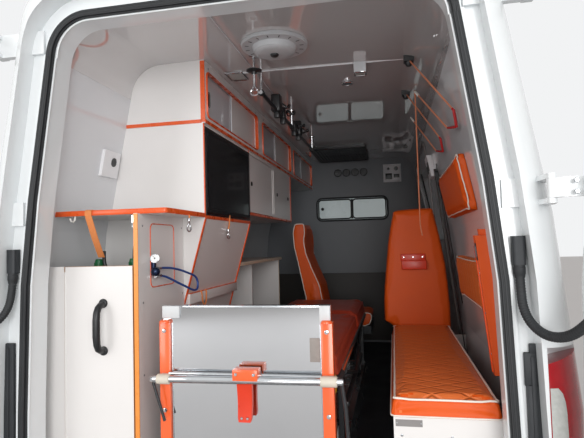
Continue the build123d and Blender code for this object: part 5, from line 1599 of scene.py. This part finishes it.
# Ramp bar and hook: a chromed tube across the rails, on scuffed black legs, in two cream nylon sleeves.
# An orange bracket holds it in the middle, and a red moulded hook that releases the ramp hangs from that.
scuffed_enamel = finish(
    "scuffed_black_enamel", "#1B1D20", "#2B2D30", patch=35, rough=0.32, spread=0.12, grain=1, relief=0.06,
)
bar_form = bmesh.new()
bar_line = [
    place(x, 0.100, z)
    for x, z in (
        (-0.3640, 0.532), (-0.3600, 0.532), (-0.3500, 0.5325), (-0.3370, 0.533), (0.2900, 0.539),
        (0.2950, 0.539),
    )
]
pipe(bar_form, bar_line, (0.0085, 0.0115, 0.0125, 0.0128, 0.0128, 0.0105), around=20)
bar_tube = piece("ramp_bar_tube", bar_form, steel_chrome, body="ramp", sharp=50)
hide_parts("ramp_bar")
bar_leg_form = bmesh.new()
pipe(bar_leg_form, [place(-0.3570, 0.100, 0.527), place(-0.3160, 0.104, 0.392)], 0.0052, around=12)
pipe(
    bar_leg_form, [place(0.2900, 0.100, 0.535), place(0.3000, 0.100, 0.455), place(0.3080, 0.100, 0.290)],
    0.0065, around=12,
)
piece("ramp_bar_legs", bar_leg_form, scuffed_enamel, body="ramp", sharp=50)
sleeve_cream = finish("cream_nylon_sleeve", "#D9D2C4", "#C6BEAF", patch=40, rough=0.42, grain=1, relief=0.1)
bar_sleeve_form = bmesh.new()
for x0, x1, z in ((-0.339, -0.293, 0.5332), (0.222, 0.276, 0.5388)):
    turned(
        bar_sleeve_form, place(x0, 0.100, z), X,
        ((0, 0.0150), (0.003, 0.0172), (x1 - x0 - 0.003, 0.0172), (x1 - x0, 0.0150)), around=24,
    )
    slabs(
        bar_sleeve_form, [((x0 + 0.004, x1 - 0.004), (0.104, 0.1285), (z - 0.013, z + 0.013))], edge=0.004,
    )
piece("ramp_bar_sleeves", bar_sleeve_form, sleeve_cream, body="ramp")
catch_form = bmesh.new()
slabs(
    catch_form,
    [
        ((-0.066, 0.018), (0.0800, 0.0850), (0.538, 0.574)),
        ((-0.066, 0.018), (0.082, 0.1285), (0.569, 0.574)),
    ],
    edge=0.002,
)
slabs(
    catch_form,
    [
        ((-0.066, -0.061), (0.082, 0.1285), (0.538, 0.572)),
        ((0.013, 0.018), (0.082, 0.1285), (0.538, 0.572)),
    ],
    edge=0.0015,
)
piece("ramp_catch_plate", catch_form, orange_enamel, body="ramp")
hook_form = bmesh.new()
hook_rows = []
for k in range(11):
    share = k / 10
    hang = 0.536 - 0.136 * share
    stand = 0.1030 + 0.008 * math.sin(share * math.pi) - 0.004 * share
    left_x, right_x = -0.060 + 0.004 * share, -0.008 - 0.002 * share
    if k == 10:
        left_x, right_x = left_x + 0.003, right_x - 0.003
    section = ((left_x, stand), (right_x, stand), (right_x, stand + 0.018), (left_x, stand + 0.018))
    hook_rows.append([hook_form.verts.new(place(x, y, hang)) for x, y in section])
join_rings(hook_form, hook_rows)
crease = [edge for edge in hook_form.edges if len(edge.link_faces) == 2 and edge.calc_face_angle(0) > 1.0]
bmesh.ops.bevel(hook_form, geom=crease, offset=0.0020, segments=2, affect="EDGES")
piece("ramp_release_hook", hook_form, handle_red, body="ramp", sharp=40)
catch_screw_form = bmesh.new()
for x, z in ((-0.054, 0.559), (0.006, 0.559)):
    turned(
        catch_screw_form, place(x, 0.0802, z), -Y,
        ((0, 0.0060), (0.001, 0.0060), (0.0035, 0.0045), (0.004, 0.002)), around=18,
    )
for x, z in ((-0.043, 0.412), (-0.023, 0.412)):
    turned(
        catch_screw_form, place(x, 0.1008, z), -Y,
        ((0, 0.0052), (0.001, 0.0050), (0.003, 0.0035), (0.0034, 0.001)), around=18,
    )
piece("ramp_catch_screws", catch_screw_form, steel_chrome, body="ramp")
tape_grey = finish("grey_cloth_tape", "#9A938E", "#857E79", patch=14, rough=0.6, grain=1.2, relief=0.35)
tape_form = bmesh.new()
slabs(tape_form, [((0.183, 0.219), (0.1405, 0.1434), (0.590, 0.668))], edge=0.001)
piece("ramp_tape", tape_form, tape_grey, body="ramp")
rod_form = bmesh.new()
pipe(rod_form, [place(-0.3050, 0.1200, 0.5475), place(0.2220, 0.1200, 0.5475)], 0.0060, around=16)
piece("ramp_cross_rod", rod_form, steel_chrome, body="ramp")

# Stretcher: chromed steel tube frame with folded legs, on rubber tyred castors with pale hubs.
# Chrome shows the dark floor, and the legs are in scuffed black enamel.
dress("stretcher_frame", steel_chrome, scuffed_enamel)
dress_faces("stretcher_frame", 1, lambda middle, normal: middle.z < 0.468)
tyre = finish("grey_black_tyre_rubber", "#2A2C2E", "#37393B", patch=40, rough=0.7, grain=1, relief=0.2)
axle_z = 0.2206
hub_rows = (
    (-0.001, 0.052), (0.0015, 0.051), (0.0016, 0.044), (0.0006, 0.040), (0.0022, 0.018), (0.0030, 0.013),
)
for word, y in (("rear", 0.460), ("front", 1.740)):
    dress(f"wheels_{word}", tyre, steel_chrome)
    dress_faces(
        f"wheels_{word}", 1, lambda middle, normal: math.hypot(middle.y - y, middle.z - axle_z) < 0.012,
    )
    hub_form = bmesh.new()
    for x0, x1 in ((-0.2370, -0.2070), (0.2010, 0.2310)):
        for x, way in ((x0, -X), (x1, X)):
            turned(hub_form, place(x, y, axle_z), way, hub_rows, around=36)
    piece(f"castor_hubs_{word}", hub_form, satin_abs, body=f"wheels_{word}", sharp=35)
frame_tube_xs = (-0.257, 0.251)
frame_parts_form = bmesh.new()
for x in frame_tube_xs:
    slabs(frame_parts_form, [((x - 0.010, x + 0.010), (0.60, 1.55), (0.300, 0.322))], edge=0.004)
    pipe(frame_parts_form, [place(x, 0.56, 0.455), place(x, 1.12, 0.312)], 0.009, around=14)
    pipe(frame_parts_form, [place(x, 1.60, 0.455), place(x, 1.04, 0.312)], 0.009, around=14)
piece("stretcher_folded_legs", frame_parts_form, scuffed_enamel, sharp=45)
stretcher_grip_form = bmesh.new()
for x in frame_tube_xs:
    turned(
        stretcher_grip_form, place(x, 0.300, 0.485), Y,
        ((0, 0.0158), (0.004, 0.0172), (0.116, 0.0172), (0.120, 0.0158)), around=24,
    )
piece("stretcher_grips", stretcher_grip_form, seal_rubber)
lock_yellow = finish(
    "yellow_moulded_nylon", "#D9A520", "#C49218", patch=40, rough=0.38, grain=1, relief=0.1,
)
lever_form = bmesh.new()
slabs(
    lever_form,
    [((0.226, 0.252), (0.252, 0.276), (0.455, 0.520)), ((-0.252, -0.226), (0.252, 0.276), (0.455, 0.520))],
    edge=0.006, segments=3,
)
piece("stretcher_release_levers", lever_form, lock_yellow)

# Stretcher mattress: two foam sections in welded orange-red PVC covers, with piping in the seams.
# The welded cover is smoother and redder than the bench's, and it wrinkles a little at the joint. Its colour
# is also darkened as painted shade, for the shade the mattress lies in.
shaded_mattress_cloth = finish(
    "orange_red_welded_pvc_painted_shade", "#B0402A", "#98341F", patch=90, rough=0.38, spread=0.08, grain=1.5, relief=0.18
)


def to_bed(u, v, w):
    """Place on the stretcher's frame for a point of the mattress."""
    return place(u, v, 0.5008 + w)


for word, y0, y1, body in (
    ("seat", 0.301, 1.3215, "compartment"), ("back", 1.3305, 2.009, "mattress_back"),
):
    outline = rounded(-0.2685, 0.2645, y0, y1, 0.045)
    points, faces = stuffed(f"mattress_pad_{word}", outline, 0.0885, 0.008, voxel=0.011, cap=0.012)
    cover(
        f"mattress_cover_{word}", points, faces, to_bed, shaded_mattress_cloth, body, f"mattress_{word}",
    )
    form = bmesh.new()
    seam(form, points, faces, along(outline, 0.010, 0.080, step=0.03), to_bed, radius=0.0030)
    piece(f"mattress_piping_{word}", form, shaded_mattress_cloth, body=body, sharp=60)

# Wall belts: black webbing with a moulded buckle, hung from anchors between the side door and the cushions.
# Woven webbing is dull, with a fine rib across it.
belt_form = bmesh.new()
for y, z0, z1 in ((1.455, 0.300, 1.415), (1.475, 0.620, 1.360)):
    wall_plate(belt_form, 1, y - 0.012, y + 0.012, z0, z1, 0.002, 0.0045, radius=0.004)
piece("wall_belts", belt_form, belt_webbing)
anchor_form = bmesh.new()
for y, z in ((1.455, 1.335), (1.475, 1.255)):
    wall_plate(anchor_form, 1, y - 0.020, y + 0.020, z - 0.040, z + 0.040, 0.004, 0.022, radius=0.012)
piece("wall_belt_buckles", anchor_form, black_abs)
strip_form = bmesh.new()
wall_plate(strip_form, 1, 1.5520, 1.5760, 0.300, 1.400, 0.0006, 0.012, radius=0.004)
piece("wall_gap_strip", strip_form, dark_abs_and_shade)

# Studio: one pale floor, a large soft key behind the camera, two soft fills and a pale sky.
# The interior gets its light through the doorway, so it falls off towards the bulkhead.
floor_mesh = bpy.data.meshes.new("studio_floor")
floor_mesh.from_pydata([(-30, -30, 0), (30, -30, 0), (30, 30, 0), (-30, 30, 0)], [], [(0, 1, 2, 3)])
studio_floor = add_object("studio_floor", floor_mesh)
studio_floor.data.materials.append(
    finish("pale_matt_floor", "#C9C9CA", "#C4C4C6", patch=900, rough=0.75, grain=20, relief=0.05)
)

world = bpy.data.worlds.new("sky")
bpy.context.scene.world = world
world.use_nodes = True
sky_tree = world.node_tree
sky_light = sky_tree.nodes["Background"]
sky_light.inputs["Color"].default_value = colour("#ECE6E1")
sky_light.inputs["Strength"].default_value = 0.85
sky_seen = add_node(sky_tree, "ShaderNodeBackground", Color=colour("#F2F3F4"), Strength=1.0)
rays = add_node(sky_tree, "ShaderNodeLightPath")
seen_by = add_node(sky_tree, "ShaderNodeMath", operation="MAXIMUM")
sky_tree.links.new(rays.outputs["Is Camera Ray"], seen_by.inputs[0])
sky_tree.links.new(rays.outputs["Is Glossy Ray"], seen_by.inputs[1])
sky_mix = add_node(sky_tree, "ShaderNodeMixShader", [("Fac", seen_by.outputs[0])])
sky_tree.links.new(sky_light.outputs[0], sky_mix.inputs[1])
sky_tree.links.new(sky_seen.outputs[0], sky_mix.inputs[2])
sky_tree.links.new(sky_mix.outputs[0], sky_tree.nodes["World Output"].inputs["Surface"])


def soft_box(name, at, target, size, power):
    """Large square light aimed at a point."""
    data = bpy.data.lights.new(name, "AREA")
    data.size = size
    data.energy = power
    light = add_object(name, data)
    light.location = at
    light.rotation_euler = (Vector(target) - Vector(at)).to_track_quat("-Z", "Y").to_euler()


soft_box("key", (3.2, -7.6, 3.0), (0, 0, 1.2), 4.0, 145)
soft_box("low fill", (1.7, -9.0, 1.6), (0, 0, 1.2), 3.0, 180)
soft_box("left fill", (-4.2, -7.2, 2.4), (0, 0, 1.2), 3.0, 120)
